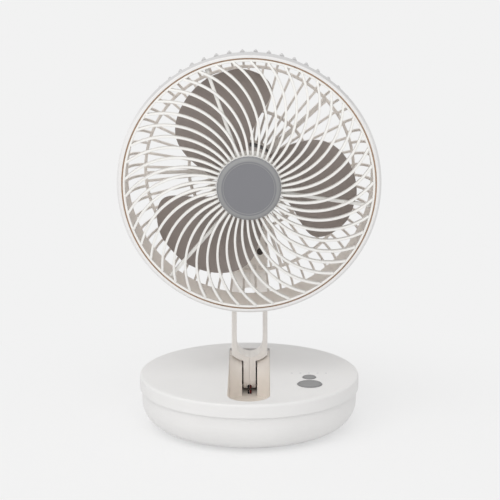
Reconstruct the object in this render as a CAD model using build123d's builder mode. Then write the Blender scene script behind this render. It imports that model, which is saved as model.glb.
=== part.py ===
from build123d import *
import os
from math import cos, radians, sin, sqrt

# Folding rechargeable desk fan. Millimetres, +Z up, front towards -Y.
# The origin is on the desk, under the centre of the round base.

# Clearances
slip = 0.1            # face to face, within one moving body
running = 0.05        # radial, between a pin or shaft and what turns on it
clear = 0.3           # between pieces that slide past each other
shell_gap = 0.5       # visible seam between lid and bowl

# Base
base_height = 42.0
lid_radius = 87.0
lid_skirt = 10.8
lid_wall = 2.4
lid_edge = 2.0
bowl_step = 1.8
bowl_wall = 2.4
bowl_corner = 20.0
lip_height = 4.0
foot_stand = 1.4
foot_depth = 0.8
foot_radius = 8.0
foot_inset = 37.0     # circle of the feet, in from the lid's edge
foot_count = 4
post_inset = 19.0     # screw posts, in from the lid's edge
post_angle = 55.0
post_radius = 4.4
post_joint_height = 24.0
post_cap = 3.0

# Well that takes the folded arm
well_width = 33.0
well_depth = 33.0
well_wall = 1.8
well_flange = 3.0     # rim of the trough, under the lid
well_front_inset = 8.6    # ends of the well, in from the lid's edge
well_rear_inset = 18.5

# Arm and its hinge in the base
hinge_inset = 31.0    # hinge axis, in from the lid's edge
hinge_drop = 20.0     # hinge axis below the lid top
tongue_width = 10.0
tongue_radius = 10.0
pin_radius = 2.5
washer_thickness = 1.0
washer_radius = 7.0
arm_width = 29.2
arm_depth = 20.0
leg_width = 3.9
loop_share = 0.591    # of the arm above the lid, up to the pivot
shoulder_radius = 21.0
shoulder_rise = 16.0  # centre of the round shoulder above the lid
cheek_gap = 0.7
cheek_below_lid = 1.2

# Pivot at the top of the arm
pivot_setback = 4.0   # pivot behind hinge, arm upright
pivot_end_radius = 14.0
lug_width = 10.0
lug_radius = 7.5
lug_room = 2.5
pin_cover = 1.1       # arm's skin over the pin's ends

# Head
head_height = 198.3   # rotor axis above the desk
head_depth = 65.0     # front of the rim to rear of the guard
arm_gap = 4.0         # guard to arm
rim_radius = 102.0
rim_taper = 4.2
rim_depth = 39.0
rim_wall = 2.4
rim_edge = 1.0
rim_nose = 1.7        # slope of the rim's front corner
rim_lip = 3.7
seat_depth = 2.2
seat_flange = 1.5
seat_overlap = 2.5
groove = 1.2

# Front grille
grille_ring_wall = 1.7
grille_hub_radius = 25.0
grille_hub_proud = 11.0   # hub plate ahead of the rim
grille_dome = 10.0
grille_depth = 5.0
front_rib_count = 45
front_rib_width = 1.8
front_rib_start = 4.15
front_rib_mid_sweep = 10.5
front_rib_end_sweep = 27.25
front_rib_inset = 5.8     # curved part of a rib, from hub and from ring
front_rib_outset = 2.4
stay_count = 3
stay_angle = 110.0
stay_width = 2.6
stay_depth = 3.5
hub_plate = 3.0
grille_hub_depth = 22.8
grille_hub_wall = 2.5

# Hub cap
cap_radius = 24.7
cap_height = 3.0
cap_bevel = 2.0
cap_groove_radius = 20.7
cap_groove = 0.5
cap_spigot_radius = 12.0
cap_spigot = 2.0

# Rear guard
guard_thickness = 3.2
guard_corner = 14.8   # width of the pan's rounded corner
finger_reach = 5.0
finger_thickness = 1.2
corner_rib_count = 60
corner_rib_start = 3.15
flat_rib_count = 45
flat_rib_start = 2.5
rear_rib_width = 1.8
guard_ring_width = 2.4
motor_disc_radius = 24.0
inner_ring_share = 0.414       # of the way from the motor disc to the flat's edge
thick_stay_root = 12.0      # width at the head's axis, were it to reach there
thick_stay_tip = 2.4
thick_stay_first = 44.0
thick_stay_second = 182.0
thick_stay_third = 288.0
spine_width = 12.0
pad_width = 28.0
pad_inset = 5.1       # pad from the flat's edge
pad_gap = 13.9        # pad from the motor disc
pad_screw_rise = 8.3  # screws above and below the pivot
bracket_plate = 2.6

# Rotor
blade_count = 3
blade_tip_gap = 10.2  # blade tip to the inside of the rim
blade_ahead = 38.3    # blade plane, ahead of the guard's rear face
blade_axis = 117.3    # angle of the first blade, seen from the front
blade_root_thickness = 2.2
blade_tip_thickness = 1.5
blade_root_pitch = 24.0
blade_mid_pitch = 19.0
blade_tip_pitch = 20.0
blade_root_trail = 59.0       # angles off the blade's own axis
blade_waist_share = 0.39      # of the way from hub to tip
blade_waist_trail = 42.8
blade_waist_lead = -36.4
blade_shoulder_share = 0.683
blade_shoulder_trail = 31.9
blade_tip_angle = -21.5
blade_bulge_share = 0.773
blade_bulge_lead = -41.4
blade_root_lead = -28.8
hub_radius = 23.0
hub_wall = 2.0
hub_length = 25.0
hub_round = 4.0

# Motor
bell_wall = 1.4
bell_length = 20.0
magnet_thickness = 2.8
magnet_length = 14.0
air_gap = 0.5
shaft_radius = 1.5
bearing_radius = 4.0
bearing_length = 4.0
tube_wall = 1.3
core_length = 8.0
core_hub_radius = 8.0
pole_count = 9
pole_width = 3.2
pole_shoe = 2.0
coil_thickness = 1.2
motor_flange = 18.5   # height of the motor's foot on the guard
motor_flange_radius = 22.0
board_thickness = 1.4
nut_radius = 6.0
nut_length = 5.0
cover_radius = 23.0
cover_thickness = 0.9

# Buttons and indicators on the lid
speed_button_inset = 13.0     # from the front edge of the board
speed_button_radius = 9.6
power_button_pitch = 18.4
power_button_radius = 5.3
button_proud = 0.7
button_flange = 1.3
button_flange_thickness = 1.4
button_travel = 0.8
stem_radius = 1.6
switch_size = 6.4
switch_height = 4.0
light_row_pitch = 11.6        # from the power button
light_pitch_share = 0.162     # of the board's width
light_count = 5
light_radius = 0.9
led_height = 0.7

# Boards, cells and socket in the base
main_board_drop = 11.0
main_board_inset = 8.2        # from the well
main_board_margin = 14.3      # from the wall of the bowl
main_board_post_gap = 5.3     # from the posts between lid and bowl
cell_room = 17.8              # length that the cells leave free along the bowl's radius
cell_side_room = 36.8         # width that they leave free
cell_gap = 1.6
cell_count = 2
tray_wall = 2.0
tray_height = 10.0
tray_pad = 1.6
socket_width = 9.0
socket_height = 3.3
socket_length = 7.4
socket_wall = 0.35
socket_level = 18.0
charge_board_width = 16.0
charge_board_depth = 10.0
charge_board_inset = 2.5

# Fasteners and leads
screw_radius = 1.4
screw_head_radius = 2.6
screw_head = 1.8
lead_radius = 0.7
lead_spacing = 1.8
lead_ahead = 6.5      # leads ahead of the hinge axis
lead_hole_radius = 2.2
lead_bend = 3.0
lead_inset = 2.5      # from the board's edges
screw_grip = 6.0      # thread in what a screw holds to
thread_room = 2.0     # hole beyond a screw's end

# Derived levels and places
foot_circle = lid_radius - foot_inset
post_circle = lid_radius - post_inset
well_front = lid_radius - well_front_inset
well_rear = lid_radius - well_rear_inset
hinge_y = lid_radius - hinge_inset
lead_y = hinge_y - lead_ahead
lid_bottom = base_height - lid_skirt
lid_under = base_height - lid_wall
lid_inner = lid_radius - lid_wall
bowl_radius = lid_radius - bowl_step
bowl_inner = bowl_radius - bowl_wall
bowl_top = lid_bottom - shell_gap
bowl_floor = foot_stand + bowl_wall
lip_radius = lid_inner - clear
well_half = well_width / 2
well_floor = base_height - well_depth
well_under = well_floor - well_wall
hinge_z = base_height - hinge_drop
arm_half = arm_width / 2
arm_front = hinge_y - tongue_radius
arm_back = arm_front + arm_depth
tongue_half = tongue_width / 2
slot_half = tongue_half + washer_thickness + 2 * slip
cheek_half = well_half - slip
rim_rear_radius = rim_radius - rim_taper
guard_flat_radius = rim_rear_radius - guard_corner
inner_ring_radius = motor_disc_radius + inner_ring_share * (guard_flat_radius - motor_disc_radius)
pad_height = guard_flat_radius - pad_inset - motor_disc_radius - pad_gap
pivot_drop = motor_disc_radius + pad_gap + pad_height / 2
pivot_y = hinge_y + pivot_setback
pivot_z = head_height - pivot_drop
lug_half = lug_width / 2
fork_half = lug_half + washer_thickness + 2 * slip
fork_floor = pivot_z - lug_radius - lug_room
loop_half = arm_half - leg_width
loop_bottom = base_height - cheek_below_lid
loop_top = loop_bottom + loop_share * (pivot_z - loop_bottom)
shoulder_centre = base_height + shoulder_rise
loop_low_z = loop_bottom + loop_half
loop_high_z = loop_top - loop_half
guard_plane = arm_front - arm_gap
ring_front = head_depth - guard_plane
rim_rear = ring_front - rim_depth
grille_hub_front = ring_front + grille_hub_proud
guard_rear = -guard_plane
guard_inner = guard_rear + guard_thickness
bell_radius = hub_radius - hub_wall - slip
bell_inner = bell_radius - bell_wall
magnet_inner = bell_inner - slip - magnet_thickness
core_radius = magnet_inner - air_gap
tube_radius = bearing_radius + tube_wall
blade_tip_radius = rim_rear_radius - rim_wall - blade_tip_gap
blade_span = blade_tip_radius - hub_radius
blade_slab = 1.4 * blade_tip_radius
blade_centre = guard_plane - blade_ahead
hub_front = hub_length / 2 - blade_centre
bell_front = hub_front - hub_wall - slip
bell_rear = bell_front - bell_length
flange_front = guard_inner + slip + motor_flange
main_board_top = base_height - main_board_drop
main_board_under = main_board_top - board_thickness
lead_offset = lead_spacing / 2
main_board_left = well_half + well_wall + main_board_inset
main_board_width = bowl_inner - main_board_margin - main_board_left
main_board_length = 2 * (post_circle * sin(radians(post_angle)) - post_radius - main_board_post_gap)
button_x = main_board_left + main_board_width / 2
speed_button_y = speed_button_inset - main_board_length / 2
power_button_y = speed_button_y + power_button_pitch
light_y = power_button_y + light_row_pitch
light_pitch = light_pitch_share * main_board_width
# The cells fill the room in the bowl, which in this size suits two of the common 18 by 65 mm kind
cell_length = bowl_inner - cell_room
cell_radius = (bowl_inner - cell_side_room) / 5
cell_pitch = 2 * cell_radius + cell_gap

# Planes and axes: the head is drawn as seen from the front, height towards the viewer
head_plane = Plane(origin=(0, 0, head_height), x_dir=(1, 0, 0), z_dir=(0, -1, 0))
head_profile = Plane(origin=(0, 0, head_height), x_dir=(1, 0, 0), z_dir=(0, 0, -1))
head_axis = Axis((0, 0, head_height), (0, -1, 0))
hinge_plane = Plane(origin=(0, hinge_y, hinge_z))
hinge_axis = Axis((0, hinge_y, hinge_z), (1, 0, 0))
hinge_side = Plane(origin=(0, hinge_y, hinge_z), x_dir=(0, 1, 0), z_dir=(1, 0, 0))
pivot_side = Plane(origin=(0, pivot_y, pivot_z), x_dir=(0, 1, 0), z_dir=(1, 0, 0))
arm_plane = Plane(origin=(0, arm_back, 0), x_dir=(1, 0, 0), z_dir=(0, -1, 0))

post_points = [
    (post_circle * cos(radians(a)), post_circle * sin(radians(a)))
    for a in (post_angle, 180 - post_angle, 180 + post_angle, -post_angle)
]
button_points = [(button_x, speed_button_y), (button_x, power_button_y)]
light_points = [
    (button_x + (i - (light_count - 1) / 2) * light_pitch, light_y) for i in range(light_count)
]
board_middle_x = button_x
board_points = [
    (board_middle_x - main_board_width / 2 + post_radius, -main_board_length / 2 + post_radius),
    (board_middle_x, main_board_length / 2 - post_radius),
    (board_middle_x + main_board_width / 2 - post_radius, speed_button_y + 2 * speed_button_radius),
]
cheek_screw_y = (hinge_y - pin_radius - 12.0, hinge_y + pin_radius + 3.5)
cheek_screw_x = (slot_half + cheek_half) / 2


def well_block(grow, top):
    # The well's hollow, or its hollow and walls: straight sides and a round front that rises from the floor
    half = well_half + grow
    front_centre = well_half - well_front
    floor = well_floor - grow
    nose = Plane.YZ.offset(-half)
    with BuildPart() as block:
        with BuildSketch(Plane.XY.offset(floor)):
            with Locations((0, front_centre)):
                Circle(half)
            with Locations((0, (front_centre + well_rear + grow) / 2)):
                Rectangle(2 * half, well_rear + grow - front_centre)
        extrude(amount=top - floor)
        with BuildSketch(nose):
            with Locations((front_centre, floor + half)):
                Circle(half)
            with Locations((front_centre, (floor + half + top) / 2)):
                Rectangle(2 * half, top - floor - half)
            with Locations(((front_centre + well_rear + grow) / 2, (floor + top) / 2)):
                Rectangle(well_rear + grow - front_centre, top - floor)
        extrude(amount=2 * half, mode=Mode.INTERSECT)
    return block.part


well_hollow = well_block(0, base_height)

# Base lid: cap with skirt, slot for the arm, screw posts and openings for buttons and lights
with BuildPart() as base_lid:
    with BuildSketch(Plane.XZ) as lid_section:
        with BuildLine():
            Polyline(
                (0, lid_under),
                (0, base_height),
                (lid_radius, base_height),
                (lid_radius, lid_bottom),
                (lid_inner, lid_bottom),
                (lid_inner, lid_under),
                close=True,
            )
        make_face()
        fillet(lid_section.vertices().group_by(Axis.X)[-1].sort_by(Axis.Y)[-1], lid_edge)
    revolve(axis=Axis.Z)
    with BuildSketch(Plane.XY.offset(post_joint_height)):
        with Locations(*post_points):
            Circle(post_radius)
    extrude(amount=lid_under - post_joint_height)
    with BuildSketch(Plane.XY.offset(main_board_top)):
        with Locations(*board_points):
            Circle(post_radius / 2 + screw_radius / 2)
    extrude(amount=lid_under - main_board_top)
    add(well_hollow, mode=Mode.SUBTRACT)
    with BuildSketch(Plane.XY.offset(lid_under)):
        with Locations(button_points[0]):
            Circle(speed_button_radius + clear)
        with Locations(button_points[1]):
            Circle(power_button_radius + clear)
        with Locations(*light_points):
            Circle(light_radius + running)
    extrude(amount=lid_wall, mode=Mode.SUBTRACT)
    with BuildSketch(Plane.XY.offset(post_joint_height)):
        with Locations(*post_points):
            Circle(screw_radius + running)
    extrude(amount=screw_grip + 2 * thread_room, mode=Mode.SUBTRACT)
    with BuildSketch(Plane.XY.offset(main_board_top)):
        with Locations(*board_points):
            Circle(screw_radius + running)
    extrude(amount=screw_grip, mode=Mode.SUBTRACT)

# Arm well: a trough under the lid's slot, with a rim that is bonded to the lid
with BuildPart() as arm_well:
    trough_top = lid_under - slip
    add(well_block(well_wall, trough_top))
    with BuildSketch(Plane.XY.offset(trough_top - well_wall)):
        with Locations((0, well_half - well_front)):
            Circle(well_half + well_wall + well_flange)
        with Locations((0, (well_half - well_front + well_rear + well_wall + well_flange) / 2)):
            Rectangle(
                2 * (well_half + well_wall + well_flange),
                well_rear + well_wall + well_flange + well_front - well_half,
            )
    extrude(amount=well_wall)
    add(well_hollow, mode=Mode.SUBTRACT)
    with BuildSketch(Plane.XY.offset(well_under)):
        with Locations((0, lead_y)):
            Circle(lead_hole_radius)
        for y in cheek_screw_y:
            with Locations((cheek_screw_x, y), (-cheek_screw_x, y)):
                Circle(screw_radius + running)
    extrude(amount=well_wall, mode=Mode.SUBTRACT)

# Base bowl: rounded shell with a lip that locates the lid, screw posts, cell pad and socket opening
with BuildPart() as base_bowl:
    with BuildSketch(Plane.XZ):
        with BuildLine():
            Line((0, foot_stand), (bowl_radius - bowl_corner, foot_stand))
            RadiusArc(
                (bowl_radius - bowl_corner, foot_stand),
                (bowl_radius, foot_stand + bowl_corner),
                -bowl_corner,
            )
            Polyline(
                (bowl_radius, foot_stand + bowl_corner),
                (bowl_radius, bowl_top),
                (lip_radius, bowl_top),
                (lip_radius, bowl_top + lip_height),
                (bowl_inner, bowl_top + lip_height),
                (bowl_inner, foot_stand + bowl_corner),
            )
            RadiusArc(
                (bowl_inner, foot_stand + bowl_corner),
                (bowl_radius - bowl_corner, bowl_floor),
                bowl_corner - bowl_wall,
            )
            Polyline((bowl_radius - bowl_corner, bowl_floor), (0, bowl_floor), (0, foot_stand))
        make_face()
    revolve(axis=Axis.Z)
    with BuildSketch(Plane.XY.offset(foot_stand + bowl_wall / 2)):
        with Locations(*post_points):
            Circle(post_radius)
    extrude(amount=post_joint_height - slip - foot_stand - bowl_wall / 2)
    tray_x = -(well_half + well_wall + 2 * slip + tray_wall + cell_radius + cell_pitch / 2 + 1.2)
    tray_width = cell_pitch * (cell_count - 1) + 2 * cell_radius + 2 * tray_wall
    tray_length = cell_length + 2 * tray_wall + 2 * clear
    tray_floor = bowl_floor + tray_pad
    with BuildSketch(Plane.XY.offset(foot_stand + bowl_wall / 2)):
        with Locations((tray_x, 0)):
            Rectangle(tray_width * 0.6, tray_length * 0.6)
    extrude(amount=tray_floor - foot_stand - bowl_wall / 2)
    charge_board_y = bowl_inner - charge_board_inset - charge_board_depth / 2
    charge_board_top = socket_level - socket_height / 2
    with BuildSketch(Plane.XY.offset(foot_stand + bowl_corner / 4)):
        with GridLocations(charge_board_width - 5, 0, 2, 1):
            with Locations((0, charge_board_y)):
                Circle(2)
    extrude(amount=charge_board_top - board_thickness - foot_stand - bowl_corner / 4)
    with BuildSketch(Plane.XZ.offset(-bowl_radius - 1)):
        with Locations((0, socket_level)):
            SlotOverall(socket_width + 2 * clear, socket_height + 2 * clear)
    extrude(amount=bowl_wall + 2.5, mode=Mode.SUBTRACT)
    with BuildSketch(Plane.XY.offset(foot_stand)):
        with PolarLocations(foot_circle, foot_count, start_angle=45):
            Circle(foot_radius + slip)
    extrude(amount=foot_depth, mode=Mode.SUBTRACT)
    with BuildSketch(Plane.XY.offset(foot_stand - 1)):
        with Locations(*post_points):
            Circle(screw_head_radius + clear)
    extrude(amount=post_joint_height - slip - post_cap - foot_stand + 1, mode=Mode.SUBTRACT)
    with BuildSketch(Plane.XY.offset(foot_stand)):
        with Locations(*post_points):
            Circle(screw_radius + running)
    extrude(amount=post_joint_height - foot_stand, mode=Mode.SUBTRACT)

# Rubber feet, set into round recesses under the bowl
with BuildPart() as rubber_feet:
    with BuildSketch(Plane.XY):
        with PolarLocations(foot_circle, foot_count, start_angle=45):
            Circle(foot_radius)
    extrude(amount=foot_stand + foot_depth)
    chamfer(rubber_feet.edges().group_by(Axis.Z)[0], 0.4)

# Screws that draw the lid down on the bowl
with BuildPart() as base_screws:
    head_z = post_joint_height - slip - post_cap - screw_head
    with BuildSketch(Plane.XY.offset(head_z)):
        with Locations(*post_points):
            Circle(screw_head_radius)
    extrude(amount=screw_head)
    with BuildSketch(Plane.XY.offset(head_z)):
        with Locations(*post_points):
            Circle(screw_radius)
    extrude(amount=screw_head + post_cap + screw_grip + thread_room)

# Hinge cheeks: waisted barrels that the arm's round shoulder rolls over, standing on the well's floor
with BuildPart() as cheek_blank:
    with BuildSketch(hinge_plane) as cheek_section:
        with Locations(((slot_half + cheek_half) / 2, shoulder_centre / 2)):
            Rectangle(cheek_half - slot_half, shoulder_centre)
        with Locations((0, shoulder_centre - hinge_z)):
            Circle(shoulder_radius + cheek_gap, mode=Mode.SUBTRACT)
        with Locations((0, shoulder_centre)):
            Rectangle(4 * well_width, 2 * hinge_z, mode=Mode.SUBTRACT)
    revolve(axis=hinge_axis)
    with BuildSketch(hinge_plane):
        add(cheek_section.sketch_local)
        mirror(about=Plane.XZ)
    extrude(amount=well_floor - hinge_z)
    reach = arm_depth + shoulder_radius
    with BuildSketch(Plane.XY.offset(well_floor)):
        with Locations((0, well_rear - slip - reach)):
            Rectangle(well_width, 2 * reach)
    extrude(amount=well_depth - cheek_below_lid, mode=Mode.INTERSECT)
    with BuildSketch(hinge_side):
        Circle(pin_radius + running)
    extrude(amount=cheek_half - 2 * well_wall, mode=Mode.SUBTRACT)
    with BuildSketch(Plane.XY.offset(well_floor)):
        with Locations(*[(cheek_screw_x, y) for y in cheek_screw_y]):
            Circle(screw_radius + running)
    extrude(amount=screw_grip + thread_room / 2, mode=Mode.SUBTRACT)

with BuildPart() as hinge_cheek_right:
    add(cheek_blank.part)

with BuildPart() as hinge_cheek_left:
    add(mirror(cheek_blank.part, about=Plane.YZ, mode=Mode.PRIVATE))

with BuildPart() as cheek_screws:
    with BuildSketch(Plane.XY.offset(well_under - screw_head)):
        for y in cheek_screw_y:
            with Locations((cheek_screw_x, y), (-cheek_screw_x, y)):
                Circle(screw_head_radius)
    extrude(amount=screw_head)
    with BuildSketch(Plane.XY.offset(well_under - screw_head)):
        for y in cheek_screw_y:
            with Locations((cheek_screw_x, y), (-cheek_screw_x, y)):
                Circle(screw_radius)
    extrude(amount=screw_head + well_wall + screw_grip)

# Hinge pin, held in the cheeks, and the friction washers beside the tongue
with BuildPart() as hinge_pin:
    with BuildSketch(hinge_side):
        Circle(pin_radius)
    extrude(amount=cheek_half - 2 * well_wall - slip, both=True)
    chamfer(hinge_pin.edges().filter_by(GeomType.CIRCLE), 0.4)

with BuildPart() as hinge_washers:
    with BuildSketch(hinge_side.offset(tongue_half + slip), hinge_side.offset(-slot_half + slip)):
        Circle(washer_radius)
        Circle(pin_radius + running, mode=Mode.SUBTRACT)
    extrude(amount=washer_thickness)

# Cell tray on the bowl's pad, two cells side by side in it
with BuildPart() as battery_tray:
    with BuildSketch(Plane.XY.offset(tray_floor)):
        with Locations((tray_x, 0)):
            RectangleRounded(tray_width, tray_length, tray_wall)
    extrude(amount=tray_height)
    cell_z = tray_floor + tray_wall / 2 + cell_radius
    with BuildSketch(Plane.XZ.offset(-cell_length / 2 - clear)):
        with Locations((tray_x, cell_z)):
            with GridLocations(cell_pitch, 0, cell_count, 1):
                Circle(cell_radius + slip)
    extrude(amount=cell_length + 2 * clear, mode=Mode.SUBTRACT)

with BuildPart() as battery_cells:
    with BuildSketch(Plane.XZ.offset(-cell_length / 2)):
        with Locations((tray_x, cell_z)):
            with GridLocations(cell_pitch, 0, cell_count, 1):
                Circle(cell_radius)
    extrude(amount=cell_length)
    chamfer(battery_cells.edges().filter_by(GeomType.CIRCLE), 0.8)

# Main board, hung on posts under the lid
with BuildPart() as main_board:
    with BuildSketch(Plane.XY.offset(main_board_under)):
        with Locations((board_middle_x, 0)):
            Rectangle(main_board_width, main_board_length)
        Circle(bowl_inner - 2, mode=Mode.INTERSECT)
        with Locations(*board_points):
            Circle(screw_radius + running, mode=Mode.SUBTRACT)
    extrude(amount=board_thickness - slip)

with BuildPart() as board_screws:
    with BuildSketch(Plane.XY.offset(main_board_under - screw_head)):
        with Locations(*board_points):
            Circle(screw_head_radius)
    extrude(amount=screw_head)
    with BuildSketch(Plane.XY.offset(main_board_under - screw_head)):
        with Locations(*board_points):
            Circle(screw_radius)
    extrude(amount=screw_head + board_thickness + screw_grip - thread_room)

# Switches on the board, each with a well for its button's stem
with BuildPart() as button_switches:
    with BuildSketch(Plane.XY.offset(main_board_top)):
        with Locations(*button_points):
            Rectangle(switch_size, switch_size)
    extrude(amount=switch_height)
    with BuildSketch(Plane.XY.offset(main_board_top + 1)):
        with Locations(*button_points):
            Circle(stem_radius + clear)
    extrude(amount=switch_height, mode=Mode.SUBTRACT)

# Indicator chips on the board and the light pipes that carry their light to the lid's face
with BuildPart() as status_leds:
    with BuildSketch(Plane.XY.offset(main_board_top)):
        with Locations(*light_points):
            Rectangle(1.6, 1.0)
    extrude(amount=led_height)

with BuildPart() as light_pipes:
    with BuildSketch(Plane.XY.offset(main_board_top + led_height + slip)):
        with Locations(*light_points):
            Circle(light_radius)
    extrude(amount=base_height - main_board_top - led_height - slip)


def push_button(x, y, radius):
    # A round cap with a flange that stops under the lid and a stem that runs in its switch
    flange_top = lid_under - clear
    with BuildPart() as button:
        with BuildSketch(Plane.XY.offset(flange_top)):
            with Locations((x, y)):
                Circle(radius)
        extrude(amount=base_height + button_proud - flange_top)
        fillet(button.edges().group_by(Axis.Z)[-1], min(button_proud, radius / 4) * 0.9)
        with BuildSketch(Plane.XY.offset(flange_top - button_flange_thickness)):
            with Locations((x, y)):
                Circle(radius + button_flange)
        extrude(amount=button_flange_thickness)
        with BuildSketch(Plane.XY.offset(main_board_top + 1 + button_travel + slip)):
            with Locations((x, y)):
                Circle(stem_radius)
        extrude(until=Until.NEXT)
    return button.part


with BuildPart() as speed_button:
    add(push_button(button_x, speed_button_y, speed_button_radius))

with BuildPart() as power_button:
    add(push_button(button_x, power_button_y, power_button_radius))

# Charging socket in the rear wall, on its own small board
socket_mouth = bowl_radius - bowl_wall / 2
with BuildPart() as usb_socket:
    with BuildSketch(Plane.XZ.offset(-socket_mouth)):
        with Locations((0, socket_level)):
            SlotOverall(socket_width, socket_height)
    extrude(amount=socket_length)
    with BuildSketch(Plane.XZ.offset(-socket_mouth)):
        with Locations((0, socket_level)):
            SlotOverall(socket_width - 2 * socket_wall, socket_height - 2 * socket_wall)
            Rectangle(0.7 * socket_width, 0.22 * socket_height, mode=Mode.SUBTRACT)
    extrude(amount=socket_length - 1.2, mode=Mode.SUBTRACT)

with BuildPart() as charge_board:
    with BuildSketch(Plane.XY.offset(charge_board_top - board_thickness)):
        with Locations((0, charge_board_y)):
            Rectangle(charge_board_width, charge_board_depth)
    extrude(amount=board_thickness - slip)

# Arm: a flat loop with a round top, a solid head with a fork, and a tongue that hangs in the hinge
with BuildPart() as arm_blank:
    with BuildSketch(arm_plane):
        with Locations((0, shoulder_centre)):
            Circle(shoulder_radius)
            Rectangle(arm_width, 4 * shoulder_radius, mode=Mode.INTERSECT)
        with Locations((0, (shoulder_centre + pivot_z) / 2)):
            Rectangle(arm_width, pivot_z - shoulder_centre)
        with Locations((0, pivot_z)):
            Circle(arm_half)
        with Locations((0, (hinge_z + loop_bottom) / 2)):
            Rectangle(tongue_width, loop_bottom - hinge_z)
        with Locations((0, (loop_low_z + loop_high_z) / 2)):
            SlotCenterToCenter(loop_high_z - loop_low_z, 2 * loop_half, rotation=90, mode=Mode.SUBTRACT)
    extrude(amount=arm_depth)
    with BuildSketch(hinge_side):
        Circle(tongue_radius)
    extrude(amount=tongue_half, both=True)
    with BuildSketch(pivot_side):
        with Locations((0, arm_width / 2)):
            Rectangle(3 * arm_depth, arm_width)
        Circle(pivot_end_radius, mode=Mode.SUBTRACT)
    extrude(amount=arm_width, both=True, mode=Mode.SUBTRACT)
    with BuildSketch(arm_plane):
        with Locations((0, fork_floor + arm_width)):
            Rectangle(2 * fork_half, 2 * arm_width)
    extrude(amount=arm_depth, mode=Mode.SUBTRACT)
    with BuildSketch(hinge_side, pivot_side):
        Circle(pin_radius + running)
    extrude(amount=arm_half - pin_cover, both=True, mode=Mode.SUBTRACT)
    long_edges = arm_blank.edges().filter_by(Axis.Z).filter_by(lambda e: abs(e.center().X) > arm_half - slip)
    fillet(long_edges, 1.2)
    with BuildSketch(Plane.XY.offset(hinge_z - tongue_radius - 1)):
        with Locations((0, lead_y)):
            Circle(lead_hole_radius)
    extrude(amount=tongue_radius + 1, mode=Mode.SUBTRACT)

# Route of a lead through the right half: up the tongue, round the loop's foot, up the leg, into the fork
leg_x = loop_half + leg_width / 2
turn_x = lead_offset + lead_bend
turn_drop = sqrt((lead_bend + leg_x) ** 2 - turn_x**2)
turn_z = loop_low_z - turn_drop
meet = leg_x / (lead_bend + leg_x)
meet_point = (turn_x * meet, loop_low_z - turn_drop * meet)
lead_foot = hinge_z - sqrt(tongue_radius**2 - (hinge_y - lead_y) ** 2) - 1.2
lead_plane = Plane(origin=(0, lead_y, 0), x_dir=(1, 0, 0), z_dir=(0, -1, 0))
fork_x = fork_half - 2 * lead_radius
with BuildLine(lead_plane) as lead_route:
    foot_run = Line((lead_offset, lead_foot), (lead_offset, turn_z))
    RadiusArc(foot_run @ 1, meet_point, lead_bend)
    RadiusArc(meet_point, (leg_x, loop_low_z), -leg_x)
    FilletPolyline(
        (leg_x, loop_low_z),
        (leg_x, loop_top + 0.25 * (fork_floor - loop_top)),
        (fork_x, loop_top + 0.61 * (fork_floor - loop_top)),
        (fork_x, fork_floor),
        radius=2 * lead_bend,
    )

with BuildPart() as lead_channel:
    channel_start = lead_route.line @ 0
    with BuildSketch(Plane(origin=channel_start, x_dir=(1, 0, 0), z_dir=(0, 0, 1))):
        Circle(lead_radius + clear)
    sweep(path=lead_route.line)

with BuildPart() as arm_lead_red:
    with BuildSketch(Plane(origin=channel_start, x_dir=(1, 0, 0), z_dir=(0, 0, 1))):
        Circle(lead_radius)
    sweep(path=lead_route.line)

with BuildPart() as arm_lead_black:
    add(mirror(arm_lead_red.part, about=Plane.YZ, mode=Mode.PRIVATE))

arm_screw_z = [loop_top + share * (fork_floor - loop_top) for share in (0.2, 0.8)]
arm_screw_y = arm_back - arm_depth / 4
arm_screw_side = Plane(origin=(arm_half, 0, 0), x_dir=(0, 1, 0), z_dir=(-1, 0, 0))

with BuildPart() as arm_right_half:
    add(arm_blank.part)
    split(bisect_by=Plane.YZ, keep=Keep.TOP)
    add(lead_channel.part, mode=Mode.SUBTRACT)
    with BuildSketch(arm_screw_side):
        with Locations(*[(arm_screw_y, -z) for z in arm_screw_z]):
            Circle(screw_head_radius + clear)
    extrude(amount=screw_head + 1, mode=Mode.SUBTRACT)
    with BuildSketch(arm_screw_side):
        with Locations(*[(arm_screw_y, -z) for z in arm_screw_z]):
            Circle(screw_radius + running)
    extrude(amount=arm_half, mode=Mode.SUBTRACT)

with BuildPart() as arm_left_half:
    add(arm_blank.part)
    split(bisect_by=Plane.YZ.offset(-slip), keep=Keep.BOTTOM)
    add(mirror(lead_channel.part, about=Plane.YZ, mode=Mode.PRIVATE), mode=Mode.SUBTRACT)
    with BuildSketch(arm_screw_side):
        with Locations(*[(arm_screw_y, -z) for z in arm_screw_z]):
            Circle(screw_radius + running)
    extrude(amount=arm_half + screw_grip + thread_room, mode=Mode.SUBTRACT)

with BuildPart() as arm_screws:
    with BuildSketch(arm_screw_side.offset(1)):
        with Locations(*[(arm_screw_y, -z) for z in arm_screw_z]):
            Circle(screw_head_radius)
    extrude(amount=screw_head)
    with BuildSketch(arm_screw_side.offset(1)):
        with Locations(*[(arm_screw_y, -z) for z in arm_screw_z]):
            Circle(screw_radius)
    extrude(amount=arm_half + screw_grip)

# Pivot pin in the fork, with a friction washer each side of the head's lug
with BuildPart() as pivot_pin:
    with BuildSketch(pivot_side):
        Circle(pin_radius)
    extrude(amount=arm_half - pin_cover - slip, both=True)
    chamfer(pivot_pin.edges().filter_by(GeomType.CIRCLE), 0.4)

with BuildPart() as pivot_washers:
    with BuildSketch(pivot_side.offset(lug_half + slip), pivot_side.offset(-fork_half + slip)):
        Circle(washer_radius)
        Circle(pin_radius + running, mode=Mode.SUBTRACT)
    extrude(amount=washer_thickness)

# Leads in the base: from the board and from the tray, under the well and up to the hole below the tongue
lead_level = (well_under + bowl_floor) / 2
lead_end = hinge_z - tongue_radius - clear


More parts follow.
